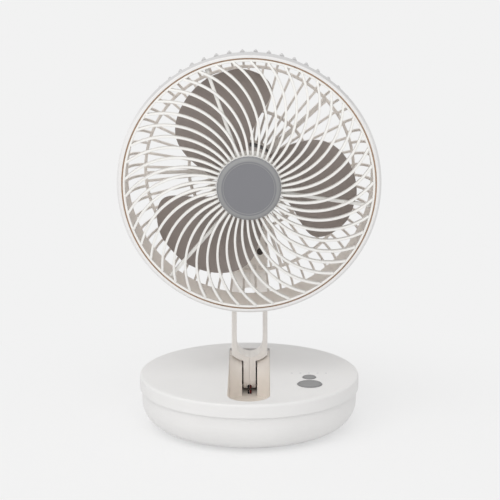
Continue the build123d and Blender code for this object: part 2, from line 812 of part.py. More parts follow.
def swept_lead(points, bends):
    # A round lead along straight runs joined by bends
    with BuildPart() as lead:
        with BuildLine() as route:
            FilletPolyline(*points, radius=bends)
        with BuildSketch(Plane(origin=route.line @ 0, z_dir=route.line % 0)):
            Circle(lead_radius)
        sweep(path=route.line)
    return lead.part


board_edge_x = main_board_left + lead_inset
red_start_y = main_board_length / 2 - lead_inset
link_x = board_middle_x - post_radius
with BuildPart() as base_lead_red:
    red_points = [
        (board_edge_x, red_start_y, main_board_under - slip),
        (board_edge_x, red_start_y, lead_level),
        (lead_offset, lead_y, lead_level),
        (lead_offset, lead_y, lead_end),
    ]
    add(swept_lead(red_points, lead_bend))

tray_end_y = tray_length / 2 + lead_radius + slip
with BuildPart() as base_lead_black:
    black_points = [
        (tray_x, tray_end_y, cell_z),
        (tray_x, tray_end_y, lead_level),
        (tray_x / 2, lead_y, lead_level),
        (-lead_offset, lead_y, lead_level),
        (-lead_offset, lead_y, lead_end),
    ]
    add(swept_lead(black_points, lead_bend))

with BuildPart() as battery_lead:
    link_points = [
        (tray_x, -tray_end_y, cell_z),
        (tray_x, -tray_end_y, lead_level),
        (link_x, -tray_end_y, lead_level),
        (link_x, -tray_end_y, main_board_under - slip),
    ]
    add(swept_lead(link_points, lead_bend))

# Head rim: a tapered band with a sloped front lip, and a flange inside it that the front grille seats on
seat_level = ring_front - seat_depth
lip_inner = rim_radius - rim_lip
flange_under = seat_level - seat_flange
rim_draft = (rim_radius - rim_rear_radius) / (flange_under - rim_rear)
with BuildPart() as rim_ring:
    with BuildSketch(head_profile) as rim_section:
        with BuildLine():
            Polyline(
                (lip_inner, ring_front),
                (rim_radius - rim_nose, ring_front),
                (rim_radius, flange_under),
                (rim_rear_radius, rim_rear),
                (rim_rear_radius - rim_wall, rim_rear),
                (rim_radius - rim_wall, flange_under),
                (lip_inner - seat_overlap, flange_under),
                (lip_inner - seat_overlap, seat_level),
                (lip_inner, seat_level),
                close=True,
            )
        make_face()
        fillet(rim_section.vertices().sort_by(Axis.X)[-2:], rim_edge)
    revolve(axis=head_axis)

# Front grille: curved ribs cut from a shallow dome, between a hub plate and the ring in the rim
grille_ring_outer = lip_inner - groove
grille_ring_inner = grille_ring_outer - grille_ring_wall
rib_end = lip_inner - seat_overlap - slip
dome_span = grille_ring_inner**2 - grille_hub_radius**2


def dome(r, below):
    # Height of the grille's dome at radius r
    return grille_hub_front - grille_dome * (r**2 - grille_hub_radius**2) / dome_span - below


def dome_band(inner, outer, above, below):
    # Closed section between two levels of the dome
    middle = (inner + outer) / 2
    with BuildSketch(head_profile) as band:
        with BuildLine():
            upper = ThreePointArc(*[(r, dome(r, above)) for r in (inner, middle, outer)])
            lower = ThreePointArc(*[(r, dome(r, below)) for r in (inner, middle, outer)])
            Line(upper @ 0, lower @ 0)
            Line(upper @ 1, lower @ 1)
        make_face()
    return band.sketch


def polar(r, angle):
    return (r * cos(radians(angle)), r * sin(radians(angle)))


front_rib_inner = grille_hub_radius + front_rib_inset
front_rib_outer = grille_ring_inner - front_rib_outset
rib_mid_radius = (front_rib_inner + front_rib_outer) / 2
with BuildPart() as grille_stays:
    stay_band = dome_band(
        grille_hub_radius - 2, rib_end, grille_depth - 0.5, grille_depth + stay_depth
    )
    revolve(stay_band, axis=head_axis)
    with BuildSketch(head_plane):
        with PolarLocations(0, stay_count, start_angle=stay_angle):
            with Locations((rim_radius / 2, 0)):
                Rectangle(rim_radius, stay_width)
    extrude(amount=2 * grille_hub_front, both=True, mode=Mode.INTERSECT)

with BuildPart() as front_grille:
    revolve(dome_band(grille_hub_radius - 1.5, rib_end, 0, grille_depth), axis=head_axis)
    with BuildSketch(head_plane):
        with BuildLine(mode=Mode.PRIVATE) as rib_line:
            ThreePointArc(
                polar(front_rib_inner, 0),
                polar(rib_mid_radius, front_rib_mid_sweep),
                polar(front_rib_outer, front_rib_end_sweep),
            )
        with BuildLine(mode=Mode.PRIVATE) as rib_path:
            rib_arc = rib_line.edges()[0]
            Line(rib_arc @ 0, (rib_arc @ 0) - (rib_arc % 0) * (front_rib_inset + 2))
            Line(rib_arc @ 1, (rib_arc @ 1) + (rib_arc % 1) * (front_rib_outset + 3.6))
            add(rib_arc)
        with PolarLocations(0, front_rib_count, start_angle=front_rib_start):
            SlotArc(rib_path.wires()[0], front_rib_width)
    extrude(amount=2 * grille_hub_front, both=True, mode=Mode.INTERSECT)
    add(grille_stays.part)
    with BuildSketch(head_profile):
        ring_top = ring_front + 0.6
        with Locations(((grille_ring_inner + grille_ring_outer) / 2, (ring_top + seat_level + slip) / 2)):
            Rectangle(grille_ring_wall, ring_top - seat_level - slip)
        hub_low = grille_hub_front - grille_hub_depth
        with Locations((grille_hub_radius / 2, (grille_hub_front + hub_low) / 2)):
            Rectangle(grille_hub_radius, grille_hub_front - hub_low)
        hub_inner = grille_hub_radius - grille_hub_wall
        with Locations((hub_inner / 2, (grille_hub_front + hub_low) / 2 - hub_plate)):
            Rectangle(hub_inner, grille_hub_front - hub_low, mode=Mode.SUBTRACT)
    revolve(axis=head_axis)
    with BuildSketch(head_plane.offset(hub_low)):
        Circle(cap_spigot_radius + slip)
    extrude(amount=2 * (grille_hub_front - hub_low), mode=Mode.SUBTRACT)

# Hub cap: disc with a bevelled edge, a fine groove, and a spigot into the grille's hub plate
cap_base = dome(grille_hub_radius - 1.5, 0) + slip
with BuildPart() as hub_cap:
    with BuildSketch(head_profile):
        with BuildLine():
            Polyline(
                (0, cap_base - cap_spigot),
                (cap_spigot_radius, cap_base - cap_spigot),
                (cap_spigot_radius, cap_base),
                (cap_radius, cap_base),
                (cap_radius, cap_base + cap_height - cap_bevel),
                (cap_groove_radius + cap_groove, cap_base + cap_height),
                (cap_groove_radius + cap_groove, cap_base + cap_height - cap_groove),
                (cap_groove_radius, cap_base + cap_height - cap_groove),
                (cap_groove_radius, cap_base + cap_height),
                (0, cap_base + cap_height),
                close=True,
            )
        make_face()
    revolve(axis=head_axis)

# Rear guard: two sets of straight ribs cut from a shallow pan, with rings, stays, a spine and the bracket pad
finger_inner = rim_rear_radius + rim_draft * finger_reach + slip
pan_radius = finger_inner + finger_thickness
pan_wall = guard_thickness
pan_start = rim_rear - slip
pan_width = pan_radius - guard_flat_radius
pan_depth = pan_start - guard_rear
pad_y = pivot_z - head_height
with BuildPart() as rear_guard:
    with BuildSketch(head_profile):
        with BuildLine():
            Polyline(
                (0, guard_inner),
                (0, guard_rear),
                (guard_flat_radius, guard_rear),
            )
            EllipticalCenterArc(
                (guard_flat_radius, pan_start), pan_width, pan_depth, start_angle=-90, arc_size=90
            )
            Polyline(
                (pan_radius, pan_start),
                (pan_radius, rim_rear + finger_reach),
                (finger_inner, rim_rear + finger_reach),
                (finger_inner, pan_start),
                (pan_radius - pan_wall, pan_start),
            )
            EllipticalCenterArc(
                (guard_flat_radius, pan_start),
                pan_width - pan_wall,
                pan_depth - guard_thickness,
                start_angle=0,
                arc_size=-90,
            )
            Line((guard_flat_radius, guard_inner), (0, guard_inner))
        make_face()
    revolve(axis=head_axis)
    with BuildSketch(head_plane.offset(guard_rear - 1)):
        with PolarLocations(0, corner_rib_count, start_angle=corner_rib_start):
            with Locations(((guard_flat_radius + pan_radius) / 2, 0)):
                Rectangle(pan_radius - guard_flat_radius + 1, rear_rib_width)
        with PolarLocations(0, flat_rib_count, start_angle=flat_rib_start):
            with Locations(((motor_disc_radius + guard_flat_radius) / 2, 0)):
                Rectangle(guard_flat_radius - motor_disc_radius + 1, rear_rib_width)
        Circle(motor_disc_radius)
        for r in (inner_ring_radius, guard_flat_radius):
            with BuildSketch(mode=Mode.PRIVATE) as ring:
                Circle(r + guard_ring_width / 2)
                Circle(r - guard_ring_width / 2, mode=Mode.SUBTRACT)
            add(ring.sketch)
        for angle in (thick_stay_first, thick_stay_second, thick_stay_third):
            with BuildSketch(mode=Mode.PRIVATE) as stay:
                with BuildLine():
                    Polyline(
                        (0, thick_stay_root / 2),
                        (guard_flat_radius, thick_stay_tip / 2),
                        (guard_flat_radius, -thick_stay_tip / 2),
                        (0, -thick_stay_root / 2),
                        close=True,
                    )
                make_face()
            add(stay.sketch, rotation=angle)
        with Locations((0, pad_y / 2)):
            Rectangle(spine_width, -pad_y)
        with Locations((0, pad_y)):
            RectangleRounded(pad_width, pad_height, 3)
    extrude(amount=guard_plane + rim_depth, mode=Mode.INTERSECT)
    hole_x = 0.3 * pad_width
    pad_holes = [(sx * hole_x, pad_y + sy * pad_screw_rise) for sx in (-1, 1) for sy in (-1, 1)]
    motor_holes = [polar((tube_radius + motor_flange_radius) / 2 + 2, 120 * i + 90) for i in range(3)]
    with BuildSketch(head_plane.offset(guard_rear - 1)):
        with Locations((0, pad_y)):
            Rectangle(lug_width + 2 * slip, 2 * lug_radius + 2 * slip)
        with Locations(*pad_holes):
            Circle(screw_radius + running)
        with Locations(*motor_holes):
            Circle(screw_radius + running)
    extrude(amount=guard_thickness + 2, mode=Mode.SUBTRACT)

# Bracket: a plate inside the guard with a lug through it to the pivot pin
with BuildPart() as head_bracket:
    with BuildSketch(head_plane.offset(guard_inner + slip)):
        with Locations((0, pad_y)):
            RectangleRounded(pad_width - 2, pad_height - 2, 3)
    extrude(amount=bracket_plate)
    with BuildSketch(pivot_side):
        Circle(lug_radius)
        lug_length = pivot_y + guard_inner + slip
        with Locations((-lug_length / 2, 0)):
            Rectangle(lug_length, 2 * lug_radius)
    extrude(amount=lug_half, both=True)
    with BuildSketch(pivot_side):
        Circle(pin_radius + running)
    extrude(amount=lug_half, both=True, mode=Mode.SUBTRACT)
    with BuildSketch(head_plane.offset(guard_inner)):
        with Locations(*pad_holes):
            Circle(screw_radius + running)
    extrude(amount=bracket_plate + 1, mode=Mode.SUBTRACT)

with BuildPart() as bracket_screws:
    plate_front = guard_inner + slip + bracket_plate
    with BuildSketch(head_plane.offset(plate_front)):
        with Locations(*pad_holes):
            Circle(screw_head_radius)
    extrude(amount=screw_head)
    with BuildSketch(head_plane.offset(guard_rear + slip)):
        with Locations(*pad_holes):
            Circle(screw_radius)
    extrude(amount=plate_front - guard_rear - slip)

# Motor: foot with bearing tube on the guard's disc, two bearings, core, coils and board
with BuildPart() as motor_base:
    with BuildSketch(head_plane.offset(guard_inner + slip)):
        Circle(motor_flange_radius)
        with Locations(*motor_holes):
            Circle(screw_radius + running, mode=Mode.SUBTRACT)
    extrude(amount=motor_flange)
    with BuildSketch(head_plane.offset(flange_front)):
        Circle(tube_radius)
    tube_front = bell_front - bell_wall - 2
    extrude(amount=tube_front - flange_front)
    with BuildSketch(head_plane.offset(guard_inner + slip + 1)):
        Circle(bearing_radius + running / 2)
    extrude(amount=tube_front - guard_inner - slip - 1, mode=Mode.SUBTRACT)

with BuildPart() as motor_bearings:
    front_bearing = tube_front - bearing_length - 0.5
    rear_bearing = guard_inner + slip + 1 + slip
    with BuildSketch(head_plane.offset(front_bearing), head_plane.offset(rear_bearing)):
        Circle(bearing_radius)
        Circle(shaft_radius + running, mode=Mode.SUBTRACT)
    extrude(amount=bearing_length)

core_rear = bell_rear + 4.5
with BuildPart() as stator_core:
    with BuildSketch(head_plane.offset(core_rear)):
        Circle(core_hub_radius)
        with PolarLocations(0, pole_count):
            with Locations(((core_hub_radius + core_radius - pole_shoe) / 2, 0)):
                Rectangle(core_radius - pole_shoe - core_hub_radius + 2, pole_width)
        with BuildSketch(mode=Mode.PRIVATE) as shoes:
            Circle(core_radius)
            Circle(core_radius - pole_shoe, mode=Mode.SUBTRACT)
            with PolarLocations(core_radius, pole_count, start_angle=180 / pole_count):
                Rectangle(3 * pole_shoe, pole_width / 2, mode=Mode.SUBTRACT)
        add(shoes.sketch)
        Circle(tube_radius + slip, mode=Mode.SUBTRACT)
    extrude(amount=core_length)

with BuildPart() as stator_coils:
    coil_length = core_radius - pole_shoe - core_hub_radius - 2 * clear
    coil_middle = (core_radius - pole_shoe + core_hub_radius) / 2
    coil_rear = core_rear - coil_thickness - slip
    with BuildSketch(head_plane.offset(coil_rear)):
        with PolarLocations(coil_middle, pole_count):
            Rectangle(coil_length, pole_width + 2 * slip + 2 * coil_thickness)
    extrude(amount=core_length + 2 * slip + 2 * coil_thickness)
    with BuildSketch(head_plane.offset(core_rear - slip)):
        with PolarLocations(coil_middle, pole_count):
            Rectangle(2 * coil_length, pole_width + 2 * slip)
    extrude(amount=core_length + 2 * slip, mode=Mode.SUBTRACT)

with BuildPart() as motor_board:
    with BuildSketch(head_plane.offset(coil_rear - slip - board_thickness)):
        Circle(core_radius)
        Circle(tube_radius + slip, mode=Mode.SUBTRACT)
    extrude(amount=board_thickness)

with BuildPart() as motor_screws:
    with BuildSketch(head_plane.offset(flange_front)):
        with Locations(*motor_holes):
            Circle(screw_head_radius)
    extrude(amount=screw_head)
    with BuildSketch(head_plane.offset(guard_rear + slip)):
        with Locations(*motor_holes):
            Circle(screw_radius)
    extrude(amount=flange_front - guard_rear - slip)

with BuildPart() as motor_cover:
    with BuildSketch(head_plane.offset(guard_rear - cover_thickness)):
        Circle(cover_radius)
    extrude(amount=cover_thickness)
    chamfer(motor_cover.faces().sort_by(Axis.Y)[-1].edges(), cover_thickness / 2)

# Motor leads: from the bracket up the spine, over the motor's foot and in to its board
lead_depth = guard_inner + slip + lead_radius
flange_depth = flange_front + lead_radius + slip
board_depth = coil_rear - slip - board_thickness - slip
lead_turn = motor_flange_radius + lead_radius + clear
spine_points = [
    (head_height + pad_y + pad_height / 2 - 1 + slip, lead_depth),
    (head_height - lead_turn, lead_depth),
    (head_height - lead_turn, flange_depth),
    (head_height - core_radius + 2 * lead_radius, flange_depth),
    (head_height - core_radius + 2 * lead_radius, board_depth),
]
with BuildPart() as motor_lead_red:
    add(swept_lead([(lead_offset, -h, z) for z, h in spine_points], 2 * lead_radius))

with BuildPart() as motor_lead_black:
    add(swept_lead([(-lead_offset, -h, z) for z, h in spine_points], 2 * lead_radius))

# Motor bell with magnet ring and shaft, inside the rotor's hub
with BuildPart() as motor_bell:
    with BuildSketch(head_plane.offset(bell_rear)):
        Circle(bell_radius)
    extrude(amount=bell_length)
    with BuildSketch(head_plane.offset(bell_rear)):
        Circle(bell_inner)
    extrude(amount=bell_length - bell_wall, mode=Mode.SUBTRACT)
    with BuildSketch(head_plane.offset(bell_rear)):
        Circle(shaft_radius + slip / 4)
    extrude(amount=2 * bell_length, mode=Mode.SUBTRACT)

with BuildPart() as magnet_ring:
    with BuildSketch(head_plane.offset(core_rear + (core_length - magnet_length) / 2)):
        Circle(bell_inner - slip)
        Circle(magnet_inner, mode=Mode.SUBTRACT)
    extrude(amount=magnet_length)

with BuildPart() as motor_shaft:
    with BuildSketch(head_plane.offset(rear_bearing - slip / 2)):
        Circle(shaft_radius)
    extrude(amount=hub_front + nut_length - 1 - rear_bearing)

# Rotor: hub cup with three broad blades, each cut from a twisted slab
with BuildPart() as blade:
    with BuildSketch(Plane(origin=(hub_radius / 2, 0, 0), x_dir=(0, 1, 0), z_dir=(1, 0, 0))):
        Rectangle(blade_slab, blade_root_thickness, rotation=blade_root_pitch)
    with BuildSketch(Plane(origin=(blade_tip_radius / 2, 0, 0), x_dir=(0, 1, 0), z_dir=(1, 0, 0))):
        Rectangle(blade_slab, (blade_root_thickness + blade_tip_thickness) / 2, rotation=blade_mid_pitch)
    with BuildSketch(Plane(origin=(blade_tip_radius + 2, 0, 0), x_dir=(0, 1, 0), z_dir=(1, 0, 0))):
        Rectangle(blade_slab, blade_tip_thickness, rotation=blade_tip_pitch)
    loft()
    with BuildSketch(Plane.XY):
        with BuildLine():
            edge = Spline(
                polar(hub_radius - 1, blade_root_trail),
                polar(hub_radius + blade_waist_share * blade_span, blade_waist_trail),
                polar(hub_radius + blade_shoulder_share * blade_span, blade_shoulder_trail),
                polar(blade_tip_radius, blade_tip_angle),
                polar(hub_radius + blade_bulge_share * blade_span, blade_bulge_lead),
                polar(hub_radius + blade_waist_share * blade_span, blade_waist_lead),
                polar(hub_radius - 1, blade_root_lead),
            )
            Polyline(edge @ 1, (0, 0), edge @ 0)
        make_face()
        Circle(blade_tip_radius, mode=Mode.INTERSECT)
        Circle(hub_radius - hub_wall / 2, mode=Mode.SUBTRACT)
    extrude(amount=blade_slab, both=True, mode=Mode.INTERSECT)

with BuildPart() as fan_rotor:
    with BuildSketch(head_profile) as hub_section:
        with BuildLine():
            Polyline(
                (shaft_radius + slip / 4, hub_front),
                (hub_radius, hub_front),
                (hub_radius, hub_front - hub_length),
                (hub_radius - hub_wall, hub_front - hub_length),
                (hub_radius - hub_wall, hub_front - hub_wall),
                (shaft_radius + slip / 4, hub_front - hub_wall),
                close=True,
            )
        make_face()
        fillet(hub_section.vertices().group_by(Axis.X)[-1].sort_by(Axis.Y)[-1], hub_round)
    revolve(axis=head_axis)
    for i in range(blade_count):
        turned = blade.part.rotate(Axis.Z, blade_axis + i * 360 / blade_count)
        add(head_plane.offset(-blade_centre).location * turned)

with BuildPart() as rotor_nut:
    with BuildSketch(head_plane.offset(hub_front)):
        Circle(nut_radius)
    extrude(amount=nut_length)
    fillet(rotor_nut.faces().sort_by(Axis.Y)[0].edges(), nut_radius / 4)
    with BuildSketch(head_plane.offset(hub_front)):
        Circle(shaft_radius + slip / 4)
    extrude(amount=nut_length - 0.8, mode=Mode.SUBTRACT)

pieces = {
    "base_lid": base_lid,
    "arm_well": arm_well,
    "base_bowl": base_bowl,
    "rubber_feet": rubber_feet,
    "base_screws": base_screws,
    "hinge_cheek_left": hinge_cheek_left,
    "hinge_cheek_right": hinge_cheek_right,
    "cheek_screws": cheek_screws,
    "hinge_pin": hinge_pin,
    "hinge_washers": hinge_washers,
    "battery_tray": battery_tray,
    "battery_cells": battery_cells,
    "main_board": main_board,
    "board_screws": board_screws,
    "button_switches": button_switches,
    "status_leds": status_leds,
    "light_pipes": light_pipes,
    "speed_button": speed_button,
    "power_button": power_button,
    "usb_socket": usb_socket,
    "charge_board": charge_board,
    "base_lead_red": base_lead_red,
    "base_lead_black": base_lead_black,
    "battery_lead": battery_lead,
    "arm_left_half": arm_left_half,
    "arm_right_half": arm_right_half,
    "arm_screws": arm_screws,
    "arm_lead_red": arm_lead_red,
    "arm_lead_black": arm_lead_black,
    "pivot_pin": pivot_pin,
    "pivot_washers": pivot_washers,
    "rim_ring": rim_ring,
    "front_grille": front_grille,
    "hub_cap": hub_cap,
    "rear_guard": rear_guard,
    "head_bracket": head_bracket,
    "bracket_screws": bracket_screws,
    "motor_base": motor_base,
    "motor_bearings": motor_bearings,
    "stator_core": stator_core,
    "stator_coils": stator_coils,
    "motor_board": motor_board,
    "motor_screws": motor_screws,
    "motor_cover": motor_cover,
    "motor_lead_red": motor_lead_red,
    "motor_lead_black": motor_lead_black,
    "motor_bell": motor_bell,
    "magnet_ring": magnet_ring,
    "motor_shaft": motor_shaft,
    "fan_rotor": fan_rotor,
    "rotor_nut": rotor_nut,
}
os.makedirs("parts", exist_ok=True)
for name, piece in pieces.items():
    piece.part.label = name
    export_step(piece.part, f"parts/{name}.step")
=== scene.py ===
import math
import bpy
import bmesh
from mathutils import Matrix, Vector


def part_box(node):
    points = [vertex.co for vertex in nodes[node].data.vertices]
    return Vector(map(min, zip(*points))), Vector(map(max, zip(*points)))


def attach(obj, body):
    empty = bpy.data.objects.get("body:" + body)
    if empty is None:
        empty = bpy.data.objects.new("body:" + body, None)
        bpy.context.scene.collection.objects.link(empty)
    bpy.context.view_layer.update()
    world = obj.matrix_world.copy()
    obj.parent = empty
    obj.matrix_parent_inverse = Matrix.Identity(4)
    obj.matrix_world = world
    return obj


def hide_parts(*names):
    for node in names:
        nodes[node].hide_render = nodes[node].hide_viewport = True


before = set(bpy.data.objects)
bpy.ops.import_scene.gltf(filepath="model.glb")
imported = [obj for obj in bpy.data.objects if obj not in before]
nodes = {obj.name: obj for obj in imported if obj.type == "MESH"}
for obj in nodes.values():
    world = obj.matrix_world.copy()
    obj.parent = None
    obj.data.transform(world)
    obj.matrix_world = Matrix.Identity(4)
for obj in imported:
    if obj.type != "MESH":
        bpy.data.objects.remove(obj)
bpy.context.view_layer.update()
scene = bpy.context.scene
scene.view_settings.view_transform = "Standard"
mm = 0.001
axisZ = 198.3  # the rotor's axis above the desk, in millimetres
print("frame loaded,", len(nodes), "nodes")


# camera at the photo's height and distance, a long lens
cameraLook = {
    "location": (0.010, -1.550, 0.506), "tiltDown": 13.223, "turn": 0.37,
    "lens": 145.9, "sensor": 36, "shiftX": 0.0016,
}

camData = bpy.data.cameras.new("photoCamera")
camData.lens = cameraLook["lens"]
camData.sensor_width = cameraLook["sensor"]
camData.shift_x = cameraLook["shiftX"]
camera = bpy.data.objects.new("photoCamera", camData)
camera.location = cameraLook["location"]
camera.rotation_euler = (math.radians(90 - cameraLook["tiltDown"]), 0, math.radians(cameraLook["turn"]))
scene.collection.objects.link(camera)
scene.camera = camera
print("camera set")


# soft studio light: one big box in front, a little left and above, and pale surroundings
lightLook = {
    "backdrop": (0.887, 0.887, 0.887), "floorShadow": 0.35, "shadowFrom": 0.10, "shadowTo": 0.32,
    "ambient": (1.0, 1.0, 1.0), "ambientStrength": 0.68,
    "keyPower": 21.5, "keySize": 2.2, "keyAt": (-0.55, -1.30, 1.66), "keyColor": (1.0, 0.995, 0.985),
    "keyAim": (0, 0, 0.15), "floorSize": 6, "floorColor": (0.95, 0.95, 0.95), "floorRough": 0.8,
}


def areaLight(name, power, size, at, target, color):
    data = bpy.data.lights.new(name, "AREA")
    data.energy = power
    data.size = size
    data.color = color
    lamp = bpy.data.objects.new(name, data)
    lamp.location = at
    lamp.rotation_euler = (Vector(target) - Vector(at)).to_track_quat("-Z", "Y").to_euler()
    scene.collection.objects.link(lamp)


def seenFlat(tree, output, litShader, color, shadow=0.0):
    # the camera and reflections see one even pale tone, everything else sees the lit surface
    seen = tree.nodes.new("ShaderNodeEmission" if output == "OUTPUT_MATERIAL" else "ShaderNodeBackground")
    seen.inputs["Color"].default_value = (*color, 1)
    seen.inputs["Strength"].default_value = 1.0
    path = tree.nodes.new("ShaderNodeLightPath")
    direct = tree.nodes.new("ShaderNodeMath")
    direct.operation = "MAXIMUM"
    tree.links.new(path.outputs["Is Camera Ray"], direct.inputs[0])
    tree.links.new(path.outputs["Is Glossy Ray"], direct.inputs[1])
    through = tree.nodes.new("ShaderNodeMath")
    through.operation = "MAXIMUM"
    tree.links.new(direct.outputs[0], through.inputs[0])
    tree.links.new(path.outputs["Is Transmission Ray"], through.inputs[1])
    fac = through.outputs[0]
    if shadow:
        # close to the object part of the lit floor shows, so its shadow is kept
        place = tree.nodes.new("ShaderNodeTexCoord")
        away = tree.nodes.new("ShaderNodeVectorMath")
        away.operation = "LENGTH"
        tree.links.new(place.outputs["Object"], away.inputs[0])
        fade = tree.nodes.new("ShaderNodeMapRange")
        fade.interpolation_type = "SMOOTHSTEP"
        fade.inputs["From Min"].default_value = lightLook["shadowFrom"]
        fade.inputs["From Max"].default_value = lightLook["shadowTo"]
        fade.inputs["To Min"].default_value = 1 - shadow
        fade.inputs["To Max"].default_value = 1.0
        tree.links.new(away.outputs["Value"], fade.inputs["Value"])
        kept = tree.nodes.new("ShaderNodeMath")
        kept.operation = "MULTIPLY"
        tree.links.new(fac, kept.inputs[0])
        tree.links.new(fade.outputs["Result"], kept.inputs[1])
        fac = kept.outputs[0]
    mix = tree.nodes.new("ShaderNodeMixShader")
    out = [n for n in tree.nodes if n.type == output][0]
    tree.links.new(fac, mix.inputs[0])
    tree.links.new(litShader.outputs[0], mix.inputs[1])
    tree.links.new(seen.outputs[0], mix.inputs[2])
    tree.links.new(mix.outputs[0], out.inputs["Surface"])


world = bpy.data.worlds.new("studio")
scene.world = world
world.use_nodes = True
surround = world.node_tree.nodes["Background"]
surround.inputs["Color"].default_value = (*lightLook["ambient"], 1)
surround.inputs["Strength"].default_value = lightLook["ambientStrength"]
seenFlat(world.node_tree, "OUTPUT_WORLD", surround, lightLook["backdrop"])

bm = bmesh.new()
bmesh.ops.create_grid(bm, x_segments=1, y_segments=1, size=lightLook["floorSize"])
floorMesh = bpy.data.meshes.new("floor")
bm.to_mesh(floorMesh)
bm.free()
floor = bpy.data.objects.new("floor", floorMesh)
scene.collection.objects.link(floor)
floorMat = bpy.data.materials.new("paleFloor")
floorMat.use_nodes = True
floorBase = floorMat.node_tree.nodes["Principled BSDF"]
floorBase.inputs["Base Color"].default_value = (*lightLook["floorColor"], 1)
floorBase.inputs["Roughness"].default_value = lightLook["floorRough"]
seenFlat(floorMat.node_tree, "OUTPUT_MATERIAL", floorBase, lightLook["backdrop"], lightLook["floorShadow"])
floorMesh.materials.append(floorMat)

areaLight("key", lightLook["keyPower"], lightLook["keySize"], lightLook["keyAt"], lightLook["keyAim"],
          lightLook["keyColor"])
print("light set")


# materials, all from patterns in object space
def newMaterial(name):
    mat = bpy.data.materials.new(name)
    mat.use_nodes = True
    tree = mat.node_tree
    return mat, tree, tree.nodes["Principled BSDF"]


def noise(tree, scale, detail=2.0, stretch=None):
    place = tree.nodes.new("ShaderNodeTexCoord")
    tex = tree.nodes.new("ShaderNodeTexNoise")
    tex.inputs["Scale"].default_value = scale
    tex.inputs["Detail"].default_value = detail
    if stretch:
        mapping = tree.nodes.new("ShaderNodeMapping")
        mapping.inputs["Scale"].default_value = stretch
        tree.links.new(place.outputs["Object"], mapping.inputs["Vector"])
        tree.links.new(mapping.outputs["Vector"], tex.inputs["Vector"])
    else:
        tree.links.new(place.outputs["Object"], tex.inputs["Vector"])
    return tex


def colorRamp(tree, fac, low, high, start=0.35, end=0.65):
    ramp = tree.nodes.new("ShaderNodeValToRGB")
    ramp.color_ramp.elements[0].position = start
    ramp.color_ramp.elements[1].position = end
    ramp.color_ramp.elements[0].color = (*low, 1)
    ramp.color_ramp.elements[1].color = (*high, 1)
    tree.links.new(fac, ramp.inputs["Fac"])
    return ramp


def moulded(name, color, vary=0.02, rough=0.45, roughVary=0.08, grain=2600, bump=0.05, bumpHeight=0.0002,
            patch=22, glossPatch=132, coat=0.0, coatRough=0.25):
    # moulded plastic: faint patches of tone, fine sparked grain, uneven gloss
    mat, tree, bsdf = newMaterial(name)
    tone = noise(tree, patch, 3)
    darker = [c * (1 - vary) for c in color]
    lighter = [min(1, c * (1 + vary)) for c in color]
    ramp = colorRamp(tree, tone.outputs["Fac"], darker, lighter)
    tree.links.new(ramp.outputs["Color"], bsdf.inputs["Base Color"])
    fine = noise(tree, grain, 2)
    gloss = tree.nodes.new("ShaderNodeMapRange")
    gloss.inputs["To Min"].default_value = rough - roughVary
    gloss.inputs["To Max"].default_value = rough + roughVary
    tree.links.new(noise(tree, glossPatch, 4).outputs["Fac"], gloss.inputs["Value"])
    tree.links.new(gloss.outputs["Result"], bsdf.inputs["Roughness"])
    raised = tree.nodes.new("ShaderNodeBump")
    raised.inputs["Strength"].default_value = bump
    raised.inputs["Distance"].default_value = bumpHeight
    tree.links.new(fine.outputs["Fac"], raised.inputs["Height"])
    tree.links.new(raised.outputs["Normal"], bsdf.inputs["Normal"])
    bsdf.inputs["Coat Weight"].default_value = coat
    bsdf.inputs["Coat Roughness"].default_value = coatRough
    return mat


def metal(name, color, rough=0.3, stretch=(1, 1, 30), grain=900, shade=0.85, smoother=0.1, rougher=0.12):
    # drawn or turned metal with fine lines
    mat, tree, bsdf = newMaterial(name)
    lines = noise(tree, grain, 3, stretch)
    ramp = colorRamp(tree, lines.outputs["Fac"], [c * shade for c in color], color)
    tree.links.new(ramp.outputs["Color"], bsdf.inputs["Base Color"])
    gloss = tree.nodes.new("ShaderNodeMapRange")
    gloss.inputs["To Min"].default_value = rough - smoother
    gloss.inputs["To Max"].default_value = rough + rougher
    tree.links.new(lines.outputs["Fac"], gloss.inputs["Value"])
    tree.links.new(gloss.outputs["Result"], bsdf.inputs["Roughness"])
    bsdf.inputs["Metallic"].default_value = 1.0
    return mat


boardLook = {
    "scale": 160, "greens": ((0.012, 0.10, 0.045), (0.016, 0.13, 0.055)), "track": (0.04, 0.22, 0.10),
    "trackWidth": 0.03, "rough": 0.35,
}


def circuit(name, look):
    # green board with paler tracks
    mat, tree, bsdf = newMaterial(name)
    place = tree.nodes.new("ShaderNodeTexCoord")
    tracks = tree.nodes.new("ShaderNodeTexBrick")
    tracks.inputs["Scale"].default_value = look["scale"]
    tracks.inputs["Color1"].default_value = (*look["greens"][0], 1)
    tracks.inputs["Color2"].default_value = (*look["greens"][1], 1)
    tracks.inputs["Mortar"].default_value = (*look["track"], 1)
    tracks.inputs["Mortar Size"].default_value = look["trackWidth"]
    tree.links.new(place.outputs["Object"], tracks.inputs["Vector"])
    tree.links.new(tracks.outputs["Color"], bsdf.inputs["Base Color"])
    bsdf.inputs["Roughness"].default_value = look["rough"]
    return mat


